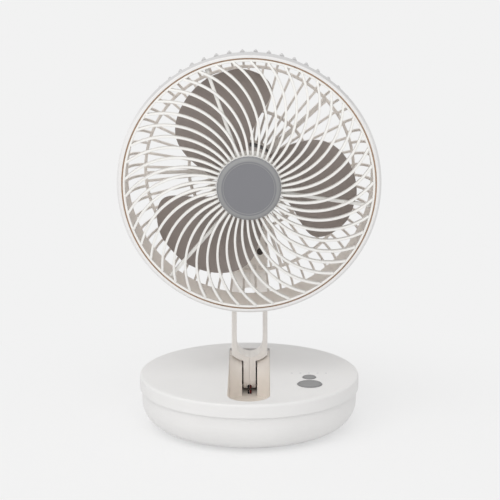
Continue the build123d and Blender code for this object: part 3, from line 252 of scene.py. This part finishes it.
plasticLook = {
    "shell": {"color": (0.80, 0.793, 0.787), "vary": 0.012, "rough": 0.46, "bump": 0.05},
    # arm: brighter and warmer than the shell, painted light against the head's shadow on the arm
    "arm": {"color": (0.93, 0.90, 0.868), "vary": 0.012, "rough": 0.46, "bump": 0.05},
    # well: warm beige and brighter than the shell, painted warm bounce light and painted light against the recess's
    # shade
    "well": {"color": (0.95, 0.90, 0.845), "vary": 0.015, "rough": 0.5, "bump": 0.05},
    "grille": {"color": (0.85, 0.84, 0.815), "vary": 0.012, "rough": 0.4, "bump": 0.03},
    # guard and stay: warmer and brighter than the shell, painted warm bounce light in the head's shade
    "guard": {"color": (0.93, 0.88, 0.83), "vary": 0.015, "rough": 0.45, "bump": 0.03},
    "stay": {"color": (0.90, 0.857, 0.812), "vary": 0.012, "rough": 0.42, "bump": 0.03},
    "cap": {"color": (0.199, 0.2, 0.216), "vary": 0.02, "rough": 0.42, "bump": 0.04, "grain": 3400},
    "blade": {"color": (0.36, 0.312, 0.292), "vary": 0.03, "rough": 0.38, "bump": 0.02},
    "button": {"color": (0.25, 0.25, 0.252), "vary": 0.02, "rough": 0.5, "bump": 0.05, "grain": 3800},
    "rubber": {"color": (0.03, 0.03, 0.031), "vary": 0.12, "rough": 0.85, "bump": 0.2, "grain": 1500},
    "black": {"color": (0.012, 0.012, 0.013), "vary": 0.15, "rough": 0.5, "bump": 0.08},
    "cell": {"color": (0.03, 0.16, 0.36), "vary": 0.05, "rough": 0.3, "bump": 0.02, "coat": 0.3},
    # leadRed: darker than the wire's own red, painted shade of the hole under the arm where the leads show
    "leadRed": {"color": (0.13, 0.008, 0.008), "vary": 0.08, "rough": 0.5, "bump": 0.06},
    "leadBlack": {"color": (0.01, 0.01, 0.011), "vary": 0.15, "rough": 0.55, "bump": 0.06},
    "light": {"color": (0.78, 0.78, 0.80), "vary": 0.02, "rough": 0.2, "bump": 0.01, "coat": 0.4},
}
metalLook = {
    "steel": {"color": (0.62, 0.62, 0.63)},
    "blackSteel": {"color": (0.11, 0.095, 0.088), "rough": 0.5},
    "darkIron": {"color": (0.22, 0.22, 0.23), "rough": 0.5, "stretch": (1, 25, 1)},
    "copper": {"color": (0.72, 0.33, 0.14), "rough": 0.35, "stretch": (6, 1, 6), "grain": 1500},
}
mats = {key: moulded(key, **look) for key, look in plasticLook.items()}
mats.update({key: metal(key, **look) for key, look in metalLook.items()})
mats["board"] = circuit("board", boardLook)


# the rim's band: the white shell, with painted warm bounce light on the inner wall, painted shade greying its top,
# and painted shade as a tan line in the seat gap at the grille
# top is a share of the radius, every other From and To is in metres
bandLook = {
    "inside": (0.985, 0.925, 0.865), "inward": -0.02,
    "topSideShade": (0.62, 0.615, 0.615), "outwardFrom": 0.06, "outwardTo": 0.088, "topFrom": 0.42, "topTo": 0.70,
    "groove": (0.69, 0.505, 0.365), "grooveInner": 0.0969, "grooveOuter": 0.0985,
    "grooveFrom": 0.0195, "grooveTo": 0.0225,
    "grip": (0.62, 0.615, 0.615), "gripFrom": 0.0945, "gripTo": 0.0985,
}


def mathNode(tree, operation, a, b):
    step = tree.nodes.new("ShaderNodeMath")
    step.operation = operation
    for socket, value in zip(step.inputs, (a, b)):
        if isinstance(value, (int, float)):
            socket.default_value = value
        else:
            tree.links.new(value, socket)
    return step.outputs[0]


def mapRange(tree, value, low, high):
    span = tree.nodes.new("ShaderNodeMapRange")
    span.inputs["From Min"].default_value = low
    span.inputs["From Max"].default_value = high
    tree.links.new(value, span.inputs["Value"])
    return span.outputs["Result"]


def tintOver(tree, fac, color):
    bsdf = tree.nodes["Principled BSDF"]
    under = bsdf.inputs["Base Color"].links[0].from_socket
    mix = tree.nodes.new("ShaderNodeMix")
    mix.data_type = "RGBA"
    mix.inputs[7].default_value = (*color, 1)
    tree.links.new(fac, mix.inputs[0])
    tree.links.new(under, mix.inputs[6])
    tree.links.new(mix.outputs[2], bsdf.inputs["Base Color"])


def spokes(tree):
    # where a point is as seen from the head's axis
    place = tree.nodes.new("ShaderNodeTexCoord")
    split = tree.nodes.new("ShaderNodeSeparateXYZ")
    tree.links.new(place.outputs["Object"], split.inputs[0])
    above = mathNode(tree, "SUBTRACT", split.outputs["Z"], axisZ * mm)
    spoke = tree.nodes.new("ShaderNodeCombineXYZ")
    tree.links.new(split.outputs["X"], spoke.inputs["X"])
    tree.links.new(above, spoke.inputs["Z"])
    reach = tree.nodes.new("ShaderNodeVectorMath")
    reach.operation = "LENGTH"
    tree.links.new(spoke.outputs[0], reach.inputs[0])
    return {"normal": place.outputs["Normal"], "spoke": spoke.outputs[0], "reach": reach.outputs["Value"],
            "above": above, "behind": split.outputs["Y"]}


def topShadeShare(tree, at):
    # 0 at the head's sides and below, 1 round its top, where the key light falls; painted shade greys the surface
    # where this is 1
    share = mathNode(tree, "DIVIDE", at["above"], at["reach"])
    return mapRange(tree, share, bandLook["topFrom"], bandLook["topTo"])


mats["band"] = moulded("band", **plasticLook["shell"])
tree = mats["band"].node_tree
at = spokes(tree)
facing = tree.nodes.new("ShaderNodeVectorMath")
facing.operation = "DOT_PRODUCT"
tree.links.new(at["spoke"], facing.inputs[0])
tree.links.new(at["normal"], facing.inputs[1])
turnedOut = facing.outputs["Value"]
# inner wall: painted warm bounce light, a warmer and lighter tone than the shell
tintOver(tree, mathNode(tree, "LESS_THAN", turnedOut, bandLook["inward"]), bandLook["inside"])
# the band's top side: painted shade, a greyer tone where the key light falls
outward = mapRange(tree, turnedOut, bandLook["outwardFrom"], bandLook["outwardTo"])
tintOver(tree, mathNode(tree, "MULTIPLY", outward, topShadeShare(tree, at)), bandLook["topSideShade"])
# painted shade: a tan tone in the narrow seat gap at the grille, standing in for its shade and warm bounce light
ahead = mathNode(tree, "MULTIPLY", at["behind"], -1.0)
grooveShadeMask = mathNode(tree, "LESS_THAN", at["reach"], bandLook["grooveOuter"])
for operation, value, limit in (("GREATER_THAN", at["reach"], "grooveInner"),
                                ("GREATER_THAN", ahead, "grooveFrom"), ("LESS_THAN", ahead, "grooveTo")):
    grooveShadeMask = mathNode(tree, "MULTIPLY", grooveShadeMask, mathNode(tree, operation, value, bandLook[limit]))
tintOver(tree, grooveShadeMask, bandLook["groove"])

# the guard's teeth over the rim take the painted shade of the rim's top
tree = mats["guard"].node_tree
at = spokes(tree)
gripShadeShare = mapRange(tree, at["reach"], bandLook["gripFrom"], bandLook["gripTo"])
tintOver(tree, mathNode(tree, "MULTIPLY", gripShadeShare, topShadeShare(tree, at)), bandLook["grip"])

# the hub cap's fine line and outer band are a shade lighter than its face, a painted highlight on the raised line
# and the rounded edge; share of that tone by radius in mm
capHighlight = {
    "tone": (0.29, 0.291, 0.293), "outer": 25.0,
    "share": ((19.4, 0), (19.5, 1), (19.9, 1), (20.0, 0.08),
              (20.9, 0.12), (21.4, 1), (23.0, 0.95), (24.2, 0.45)),
}
tree = mats["cap"].node_tree
shares = tree.nodes.new("ShaderNodeValToRGB")
stops = shares.color_ramp.elements
while len(stops) < len(capHighlight["share"]):
    stops.new(1.0)
for stop, (radius, share) in zip(stops, capHighlight["share"]):
    stop.position = radius / capHighlight["outer"]
    stop.color = (share, share, share, 1)
tree.links.new(mathNode(tree, "DIVIDE", spokes(tree)["reach"], capHighlight["outer"] * mm), shares.inputs["Fac"])
tintOver(tree, shares.outputs["Color"], capHighlight["tone"])

# what the CAD nodes wear, apart from those that a mesh replaces below
wears = {
    "shell": ["base_lid", "base_bowl"],
    "arm": ["arm_left_half", "arm_right_half"],
    "band": ["rim_ring"],
    "well": ["arm_well", "hinge_cheek_left", "hinge_cheek_right", "head_bracket"],
    "blade": ["fan_rotor"],
    "rubber": ["rubber_feet"],
    "steel": ["base_screws", "cheek_screws", "board_screws", "motor_screws", "hinge_pin", "pivot_pin",
              "motor_shaft", "motor_bell", "motor_bearings", "pivot_washers", "usb_socket"],
    "black": ["hinge_washers", "battery_tray", "button_switches", "motor_base", "rotor_nut"],
    "cell": ["battery_cells"],
    "board": ["main_board", "charge_board", "motor_board"],
    "light": ["status_leds", "light_pipes"],
    "leadRed": ["base_lead_red", "arm_lead_red", "motor_lead_red", "battery_lead"],
    "leadBlack": ["base_lead_black", "arm_lead_black", "motor_lead_black"],
    "darkIron": ["stator_core", "magnet_ring"],
    "copper": ["stator_coils"],
}
for key, names in wears.items():
    for name in names:
        slots = nodes[name].data.materials
        slots.clear()
        slots.append(mats[key])
print("materials set")


# mesh helpers, all points in millimetres until they become vertices
headFrame = {"origin": Vector((0, 0, axisZ)), "along": Vector((0, -1, 0)), "side": Vector((1, 0, 0))}
meshLook = {"mergeWithin": 1e-6, "sharpAngle": 42, "easeAngle": 40, "easeSegments": 2}


def headPoint(radius, angle, ahead):
    a = math.radians(angle)
    return Vector((radius * math.cos(a), -ahead, axisZ + radius * math.sin(a))) * mm


def turned(bm, outline, origin, along, side, steps=120):
    # spin a closed outline of (radius, height) points round an axis
    verts = [bm.verts.new((origin + side * r + along * h) * mm) for r, h in outline]
    edges = [bm.edges.new((a, b)) for a, b in zip(verts, verts[1:] + verts[:1])]
    bmesh.ops.spin(bm, geom=verts + edges, cent=origin * mm, axis=along, angle=math.tau, steps=steps,
                   use_merge=True)
    bmesh.ops.remove_doubles(bm, verts=bm.verts, dist=meshLook["mergeWithin"])
    bmesh.ops.delete(bm, geom=[e for e in bm.edges if not e.link_faces], context="EDGES")


def bar(bm, rows):
    # draw a bar out from its first section through the others
    end = bm.faces.new([bm.verts.new(p) for p in rows[0]])
    for i, row in enumerate(rows[1:]):
        old = end
        grown = bmesh.ops.extrude_face_region(bm, geom=[old])["geom"]
        end = [g for g in grown if isinstance(g, bmesh.types.BMFace)][0]
        if i:
            bmesh.ops.delete(bm, geom=[old], context="FACES_ONLY")  # only the first stays, as the bar's end
        corner = {v: min(range(len(row)), key=lambda k: (v.co - rows[i][k]).length) for v in end.verts}
        for v, k in corner.items():
            v.co = row[k]


def around(bm, count):
    # copies of everything so far, evenly round the head's axis
    bmesh.ops.spin(bm, geom=bm.verts[:] + bm.edges[:] + bm.faces[:], cent=headFrame["origin"] * mm,
                   axis=headFrame["along"], angle=math.tau * (count - 1) / count, steps=count - 1,
                   use_duplicate=True)


def softEdges(bm, width):
    bmesh.ops.recalc_face_normals(bm, faces=bm.faces)
    limit = math.radians(meshLook["easeAngle"])
    sharp = [e for e in bm.edges if e.is_manifold and e.calc_face_angle() > limit]
    bmesh.ops.bevel(bm, geom=sharp, offset=width * mm, offset_type="OFFSET", segments=meshLook["easeSegments"],
                    profile=0.5, affect="EDGES", clamp_overlap=True, material=-1)


def addMesh(bm, part):
    # join a finished part into a piece
    mesh = bpy.data.meshes.new("joined")
    part.to_mesh(mesh)
    part.free()
    bm.from_mesh(mesh)
    bpy.data.meshes.remove(mesh)


def toPiece(name, bm, mat, body, slot, *stoodFor):
    bmesh.ops.recalc_face_normals(bm, faces=bm.faces)
    mesh = bpy.data.meshes.new(name)
    bm.to_mesh(mesh)
    bm.free()
    mesh.shade_smooth()
    mesh.set_sharp_from_angle(angle=math.radians(meshLook["sharpAngle"]))
    mesh.materials.append(mat)
    piece = bpy.data.objects.new(name, mesh)
    scene.collection.objects.link(piece)
    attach(piece, body)
    if stoodFor:
        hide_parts(*stoodFor)


# front grille: swept ribs with eased edges on a shallow dome, a ring in the rim and a deep hub cup
grilleLook = {
    "ribs": 45, "start": 4.45, "midSweep": 10.5, "endSweep": 27.25, "from": 30.8, "to": 93.0,
    "width": 1.8, "depth": 5.0, "steps": 20, "soft": 0.45, "runIn": 6.6, "ribEnd": 95.7,
    "hubRadius": 25.0, "hubFront": 34.0, "hubRear": 11.2, "hubWall": 2.5, "plate": 3.0, "bore": 12.1, "drop": 10.0,
    "ringInner": 95.4, "ringOuter": 97.1, "ringRear": 20.9, "ringFront": 23.6, "ringSteps": 180, "ringSoft": 0.4,
    "stays": 3, "stayStart": 110, "stayWidth": 2.6, "stayTop": 4.5, "stayDepth": 4.0,
    "stayFrom": 24.0, "staySteps": 10,
}


def domeAt(radius):
    hub, ring = grilleLook["hubRadius"], grilleLook["ringInner"]
    return grilleLook["hubFront"] - grilleLook["drop"] * (radius ** 2 - hub ** 2) / (ring ** 2 - hub ** 2)


def polar(radius, angle):
    return Vector((math.cos(math.radians(angle)), math.sin(math.radians(angle)))) * radius


def untilRadius(point, heading, radius):
    # how far along a heading a point comes to a radius
    near = point.dot(heading)
    return -near + math.sqrt(near ** 2 - point.dot(point) + radius ** 2)


def ribPath(look):
    # points and headings of one rib, flat: an arc through three points, run on straight into hub and ring
    a, c = polar(look["from"], 0), polar(look["to"], look["endSweep"])
    b = polar((look["from"] + look["to"]) / 2, look["midSweep"])
    d = 2 * (a.x * (b.y - c.y) + b.x * (c.y - a.y) + c.x * (a.y - b.y))
    aa, bb, cc = a.dot(a), b.dot(b), c.dot(c)
    centre = Vector(((aa * (b.y - c.y) + bb * (c.y - a.y) + cc * (a.y - b.y)) / d,
                     (aa * (c.x - b.x) + bb * (a.x - c.x) + cc * (b.x - a.x)) / d))
    first = math.atan2(*(a - centre).yx)
    sweep = math.atan2(*(c - centre).yx) - first
    sweep = (sweep + math.pi) % math.tau - math.pi
    path = []
    for i in range(look["steps"] + 1):
        t = first + sweep * i / look["steps"]
        heading = Vector((-math.sin(t), math.cos(t))) * math.copysign(1, sweep)
        path.append((centre + Vector((math.cos(t), math.sin(t))) * (a - centre).length, heading))
    start, end = path[0], path[-1]
    path.insert(0, (start[0] - start[1] * look["runIn"], start[1]))
    path.append((end[0] + end[1] * untilRadius(end[0], end[1], look["ribEnd"]), end[1]))
    return path


def ribRows(path, turn, width, depth):
    rows = []
    for point, heading in path:
        ahead = domeAt(point.length)
        row = []
        for off, down in ((1, 0), (1, depth), (-1, depth), (-1, 0)):
            p = point + Vector((-heading.y, heading.x)) * off * width / 2
            row.append(headPoint(p.length, math.degrees(math.atan2(p.y, p.x)) + turn, ahead - down))
        rows.append(row)
    return rows


bm = bmesh.new()
path = ribPath(grilleLook)
bar(bm, ribRows(path, grilleLook["start"], grilleLook["width"], grilleLook["depth"]))
softEdges(bm, grilleLook["soft"])
around(bm, grilleLook["ribs"])
part = bmesh.new()
rows = []
stayFrom, turn = grilleLook["stayFrom"], grilleLook["stayStart"]
for step in range(grilleLook["staySteps"] + 1):
    r = stayFrom + (grilleLook["ribEnd"] - stayFrom) * step / grilleLook["staySteps"]
    lean = math.degrees(grilleLook["stayWidth"] / 2 / r)
    high = domeAt(r) - grilleLook["stayTop"]
    low = high - grilleLook["stayDepth"]
    rows.append([headPoint(r, turn + lean, high), headPoint(r, turn + lean, low),
                 headPoint(r, turn - lean, low), headPoint(r, turn - lean, high)])
bar(part, rows)
softEdges(part, grilleLook["soft"])
around(part, grilleLook["stays"])
addMesh(bm, part)
part = bmesh.new()
ring = [(grilleLook["ringInner"], grilleLook["ringRear"]), (grilleLook["ringOuter"], grilleLook["ringRear"]),
        (grilleLook["ringOuter"], grilleLook["ringFront"]), (grilleLook["ringInner"], grilleLook["ringFront"])]
turned(part, ring, **headFrame, steps=grilleLook["ringSteps"])
hub, wall = grilleLook["hubRadius"], grilleLook["hubWall"]
front, rear, plate = grilleLook["hubFront"], grilleLook["hubRear"], grilleLook["plate"]
cup = [(grilleLook["bore"], front), (hub, front), (hub, rear), (hub - wall, rear),
       (hub - wall, front - plate), (grilleLook["bore"], front - plate)]
turned(part, cup, **headFrame)
softEdges(part, grilleLook["ringSoft"])
addMesh(bm, part)
toPiece("frontGrille", bm, mats["grille"], "head", "warm_white_grille", "front_grille")
print("front grille done")


# rear guard: ribs round the corner that grip the rim, straight ribs on the flat, two rings, three stays and a spine
guardLook = {
    "width": 1.8, "tip": 0.9, "soft": 0.4, "rear": -42.0, "inner": -38.8,
    "cornerRibs": 60, "cornerStart": 3.15, "cornerFrom": 82.2, "cornerSteps": 8,
    "flatRibs": 45, "flatStart": 2.5, "flatStops": (23.5, 53, 82.6),
    "flatRadius": 83.0, "panStart": -16.1, "panWidth": 16.683, "panDepth": 25.9, "wall": 3.2,
    "fingerEnd": -11.0, "fingerInner": 98.483, "fingerOuter": 99.683, "fingerBase": 3.8, "fingerTop": 0.9,
    "fingerStep": 0.1,
    "ringWidth": 2.4, "ringInset": 0.25, "ringSteps": 160, "innerRing": 48.4, "disc": 24.0, "discBore": 1.5,
    "stayAngles": (44, 182, 288), "stayStops": (22, 32, 42, 52, 67, 82.6), "stayRoot": 9.5, "stayTip": 2.4,
    "stayTaper": 0.45, "stayCurve": 1.5, "stayProud": 0.1,
    "spineWidth": 12.0, "spineStops": (-20, -40), "spineInset": 0.4,
    "padWidth": 28.0, "padHeight": 40.0, "padDrop": 57.9, "padHole": (5.1, 7.6), "padCorner": 3.0, "padSteps": 4,
}


def guardRow(rOut, hOut, rIn, hIn, turn, widthOut, widthIn):
    out, inn = math.degrees(widthOut / 2 / rOut), math.degrees(widthIn / 2 / rIn)
    return [headPoint(rIn, turn + inn, hIn), headPoint(rOut, turn + out, hOut),
            headPoint(rOut, turn - out, hOut), headPoint(rIn, turn - inn, hIn)]


look = guardLook
bm = bmesh.new()
turn, w = look["cornerStart"], look["width"]
rows = [guardRow(look["cornerFrom"], look["rear"], look["cornerFrom"], look["inner"], turn, w, w)]
for step in range(look["cornerSteps"] + 1):
    t = math.radians(90 * step / look["cornerSteps"])
    rOut = look["flatRadius"] + look["panWidth"] * math.sin(t)
    hOut = look["panStart"] - look["panDepth"] * math.cos(t)
    rIn = look["flatRadius"] + (look["panWidth"] - look["wall"]) * math.sin(t)
    hIn = look["panStart"] - (look["panDepth"] - look["wall"]) * math.cos(t)
    rows.append(guardRow(rOut, hOut, rIn, hIn, turn, w + (look["tip"] - w) * math.sin(t), w))
fingerFoot = look["panStart"] + look["fingerStep"]
rows.append(guardRow(look["fingerOuter"], fingerFoot, look["fingerInner"], fingerFoot,
                     turn, look["fingerTop"], look["fingerBase"]))
rows.append(guardRow(look["fingerOuter"] - look["fingerStep"], look["fingerEnd"], look["fingerInner"],
                     look["fingerEnd"], turn, look["fingerTop"], look["fingerBase"]))
bar(bm, rows)
softEdges(bm, look["soft"])
around(bm, look["cornerRibs"])
part = bmesh.new()
bar(part, [guardRow(r, look["rear"], r, look["inner"], look["flatStart"], w, w) for r in look["flatStops"]])
softEdges(part, look["soft"])
around(part, look["flatRibs"])
addMesh(bm, part)
part = bmesh.new()
ringRear, ringFront = look["rear"] + look["ringInset"], look["inner"] - look["ringInset"]
for r in (look["innerRing"], look["flatRadius"]):
    half = look["ringWidth"] / 2
    turned(part, [(r - half, ringRear), (r + half, ringRear), (r + half, ringFront), (r - half, ringFront)],
           **headFrame, steps=look["ringSteps"])
bore, disc = look["discBore"], look["disc"]
turned(part, [(bore, ringRear), (disc, ringRear), (disc, ringFront), (bore, ringFront)], **headFrame)
softEdges(part, look["soft"])
addMesh(bm, part)
toPiece("guardRibs", bm, mats["guard"], "head", "warm_white_grille", "rear_guard")

bm = bmesh.new()
stayRear, stayFront = look["rear"] - look["stayProud"], look["inner"] + look["stayProud"]
stayFrom = look["stayStops"][0]
for turn in look["stayAngles"]:
    rows = []
    for r in look["stayStops"]:
        share = (r - stayFrom) / (look["flatRadius"] - stayFrom)
        waist = max(0, 1 - share / look["stayTaper"]) ** look["stayCurve"]
        width = look["stayTip"] + (look["stayRoot"] - look["stayTip"]) * waist
        rows.append(guardRow(r, stayRear, r, stayFront, turn, width, width))
    bar(bm, rows)
half = look["spineWidth"] / 2
spineRear, spineFront = look["rear"] + look["spineInset"], look["inner"] - look["spineInset"]
section = ((half, spineFront), (half, spineRear), (-half, spineRear), (-half, spineFront))
bar(bm, [[Vector((x, -h, axisZ + z)) * mm for x, h in section] for z in look["spineStops"]])
softEdges(bm, look["soft"])
# pad with a slot for the lug, from a 3 by 3 grid with its middle left out
pad = bmesh.new()
bmesh.ops.create_grid(pad, x_segments=3, y_segments=3, size=1)
holeX, holeZ = look["padHole"]
padCentre = Vector((0, -look["inner"], axisZ - look["padDrop"]))
for v in pad.verts:
    x = math.copysign(look["padWidth"] / 2 if abs(v.co.x) > 0.9 else holeX, v.co.x)  # 0.9: the grid's outer rows
    z = math.copysign(look["padHeight"] / 2 if abs(v.co.y) > 0.9 else holeZ, v.co.y)
    v.co = (padCentre + Vector((x, 0, z))) * mm
middle = min(pad.faces, key=lambda f: (f.calc_center_median() - padCentre * mm).length)
bmesh.ops.delete(pad, geom=[middle], context="FACES")
corners = [v for v in pad.verts if len(v.link_edges) == 2]
bmesh.ops.bevel(pad, geom=corners, offset=look["padCorner"] * mm, offset_type="OFFSET", segments=look["padSteps"],
                profile=0.5, affect="VERTICES", material=-1)
grown = bmesh.ops.extrude_face_region(pad, geom=pad.faces[:])["geom"]
bmesh.ops.translate(pad, verts=[g for g in grown if isinstance(g, bmesh.types.BMVert)],
                    vec=(0, look["wall"] * mm, 0))
softEdges(pad, look["soft"])
addMesh(bm, pad)
toPiece("guardStays", bm, mats["stay"], "head", "warm_white_grille")
print("rear guard done")


# hub cap: a flat disc with a fine raised line and a broad rounded edge
capLook = {
    "radius": 24.7, "base": 34.21, "height": 3.0, "foot": 0.3, "edgeFrom": 20.9, "edgeRise": 0.4, "edgeSteps": 8,
    "lineAt": 19.5, "lineWidth": 0.5, "lineRise": 0.14, "lineEase": 0.1,
    "spigot": 12.0, "spigotDepth": 2.0, "steps": 128,
}
look = capLook
top, under = look["base"] + look["height"], look["base"] - look["spigotDepth"]
lineIn, lineOut, crest = look["lineAt"], look["lineAt"] + look["lineWidth"], top + look["lineRise"]
outline = [(0, under), (look["spigot"], under), (look["spigot"], look["base"]),
           (look["radius"] - look["foot"], look["base"])]
for step in range(look["edgeSteps"] + 1):
    t = math.radians(90 * step / look["edgeSteps"])
    outline.append((look["edgeFrom"] + (look["radius"] - look["edgeFrom"]) * math.cos(t),
                    look["base"] + look["edgeRise"] + (look["height"] - look["edgeRise"]) * math.sin(t)))
outline += [(lineOut, top), (lineOut - look["lineEase"], crest), (lineIn + look["lineEase"], crest),
            (lineIn, top), (0, top)]
bm = bmesh.new()
turned(bm, outline, **headFrame, steps=look["steps"])
toPiece("hubCap", bm, mats["cap"], "head", "grey_cap", "hub_cap")
print("hub cap done")


# motor cover at the back: a thin disc with a fine step and a ring line
coverLook = {
    "radius": 23.0, "rear": -42.9, "front": -42.0, "ease": 0.35, "stepAt": 17.5, "step": 0.35, "stepEase": 0.3,
    "lineAt": 8.0, "lineWidth": 0.5, "steps": 96,
}
look = coverLook
inset = look["rear"] + look["step"]
outline = [(0, look["front"]), (look["radius"], look["front"]), (look["radius"], inset + look["ease"]),
           (look["radius"] - look["ease"], inset), (look["stepAt"] + look["stepEase"], inset),
           (look["stepAt"], look["rear"]), (look["lineAt"] + look["lineWidth"], look["rear"]),
           (look["lineAt"] + look["lineWidth"] / 2, inset), (look["lineAt"], look["rear"]), (0, look["rear"])]
bm = bmesh.new()
turned(bm, outline, **headFrame, steps=look["steps"])
toPiece("motorCover", bm, mats["shell"], "head", "white_shell", "motor_cover")
print("motor cover done")


# buttons with a shallow dish and a fine line round it
buttonLook = {
    "flange": 1.3, "flangeTop": 39.3, "flangeUnder": 37.9, "stem": 1.6, "stemFoot": 32.9,
    "edge": 0.55, "edgeTurns": (30, 60, 90), "dish": 0.4, "dishStops": (0.75, 0.5, 0.25, 0), "steps": 72,
    "lineAt": 0.86, "lineWidth": 0.3, "lineDepth": 0.3, "lineStep": 0.06, "lineSides": (0.7, 0.3),
}


def dishedButton(name, node, body):
    look = buttonLook
    low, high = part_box(node)
    cx, cy = (low[0] + high[0]) / 2 / mm, (low[1] + high[1]) / 2 / mm
    top = high[2] / mm
    radius = (high[0] - low[0]) / 2 / mm - look["flange"]
    outline = [(0, look["stemFoot"]), (look["stem"], look["stemFoot"]), (look["stem"], look["flangeUnder"]),
               (radius + look["flange"], look["flangeUnder"]), (radius + look["flange"], look["flangeTop"]),
               (radius, look["flangeTop"]), (radius, top - look["edge"])]
    for t in look["edgeTurns"]:
        c, s = math.cos(math.radians(t)), math.sin(math.radians(t))
        outline.append((radius - look["edge"] * (1 - c), top - look["edge"] * (1 - s)))
    line = radius * look["lineAt"]
    outline.append((line + look["lineWidth"], top))
    for side in look["lineSides"]:
        outline.append((line + look["lineWidth"] * side, top - look["lineDepth"]))
    outline.append((line, top - look["lineStep"]))
    for share in look["dishStops"]:
        outline.append((radius * share, top - look["dish"] * (1 - share ** 2)))
    bm = bmesh.new()
    turned(bm, outline, Vector((cx, cy, 0)), Vector((0, 0, 1)), Vector((1, 0, 0)), steps=look["steps"])
    toPiece(name, bm, mats["button"], body, "grey_button", node)


dishedButton("speedButton", "speed_button", "speed_button")
dishedButton("powerButton", "power_button", "power_button")
print("buttons done")


# screws that show: pan heads with a round socket
screwLook = {
    "head": 2.6, "headHeight": 1.8, "shank": 1.4, "ease": 0.5, "easeMiddle": 0.15, "steps": 24,
    "socket": 1.25, "socketDepth": 1.1, "socketTaper": 0.9, "socketPoint": 0.2,
}
bracketScrewLook = {"aside": 8.4, "updown": 8.3, "seat": 36.1, "middle": 140.4, "length": 5.8}


def socketScrew(bm, foot, along, side, length):
    look = screwLook
    head, tall = look["head"], look["headHeight"]
    bottom = tall - look["socketDepth"]
    outline = [(0, -length), (look["shank"], -length), (look["shank"], 0), (head, 0), (head, tall - look["ease"]),
               (head - look["easeMiddle"], tall - look["easeMiddle"]), (head - look["ease"], tall),
               (look["socket"], tall), (look["socket"] * look["socketTaper"], bottom),
               (0, bottom - look["socketPoint"])]
    turned(bm, outline, foot, along, side, steps=look["steps"])


look = bracketScrewLook
bm = bmesh.new()
for x in (-look["aside"], look["aside"]):
    for z in (-look["updown"], look["updown"]):
        foot = Vector((x, look["seat"], look["middle"] + z))
        socketScrew(bm, foot, Vector((0, -1, 0)), Vector((1, 0, 0)), look["length"])
toPiece("bracketScrews", bm, mats["blackSteel"], "head", "steel", "bracket_screws")

low, high = [Vector(c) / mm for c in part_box("arm_screws")]
seat = high.x - screwLook["headHeight"]
bm = bmesh.new()
for z in (low.z + screwLook["head"], high.z - screwLook["head"]):
    socketScrew(bm, Vector((seat, (low.y + high.y) / 2, z)), Vector((1, 0, 0)), Vector((0, 1, 0)), seat - low.x)
toPiece("armScrews", bm, mats["steel"], "arm", "steel", "arm_screws")
print("screws done")


print("pieces done")
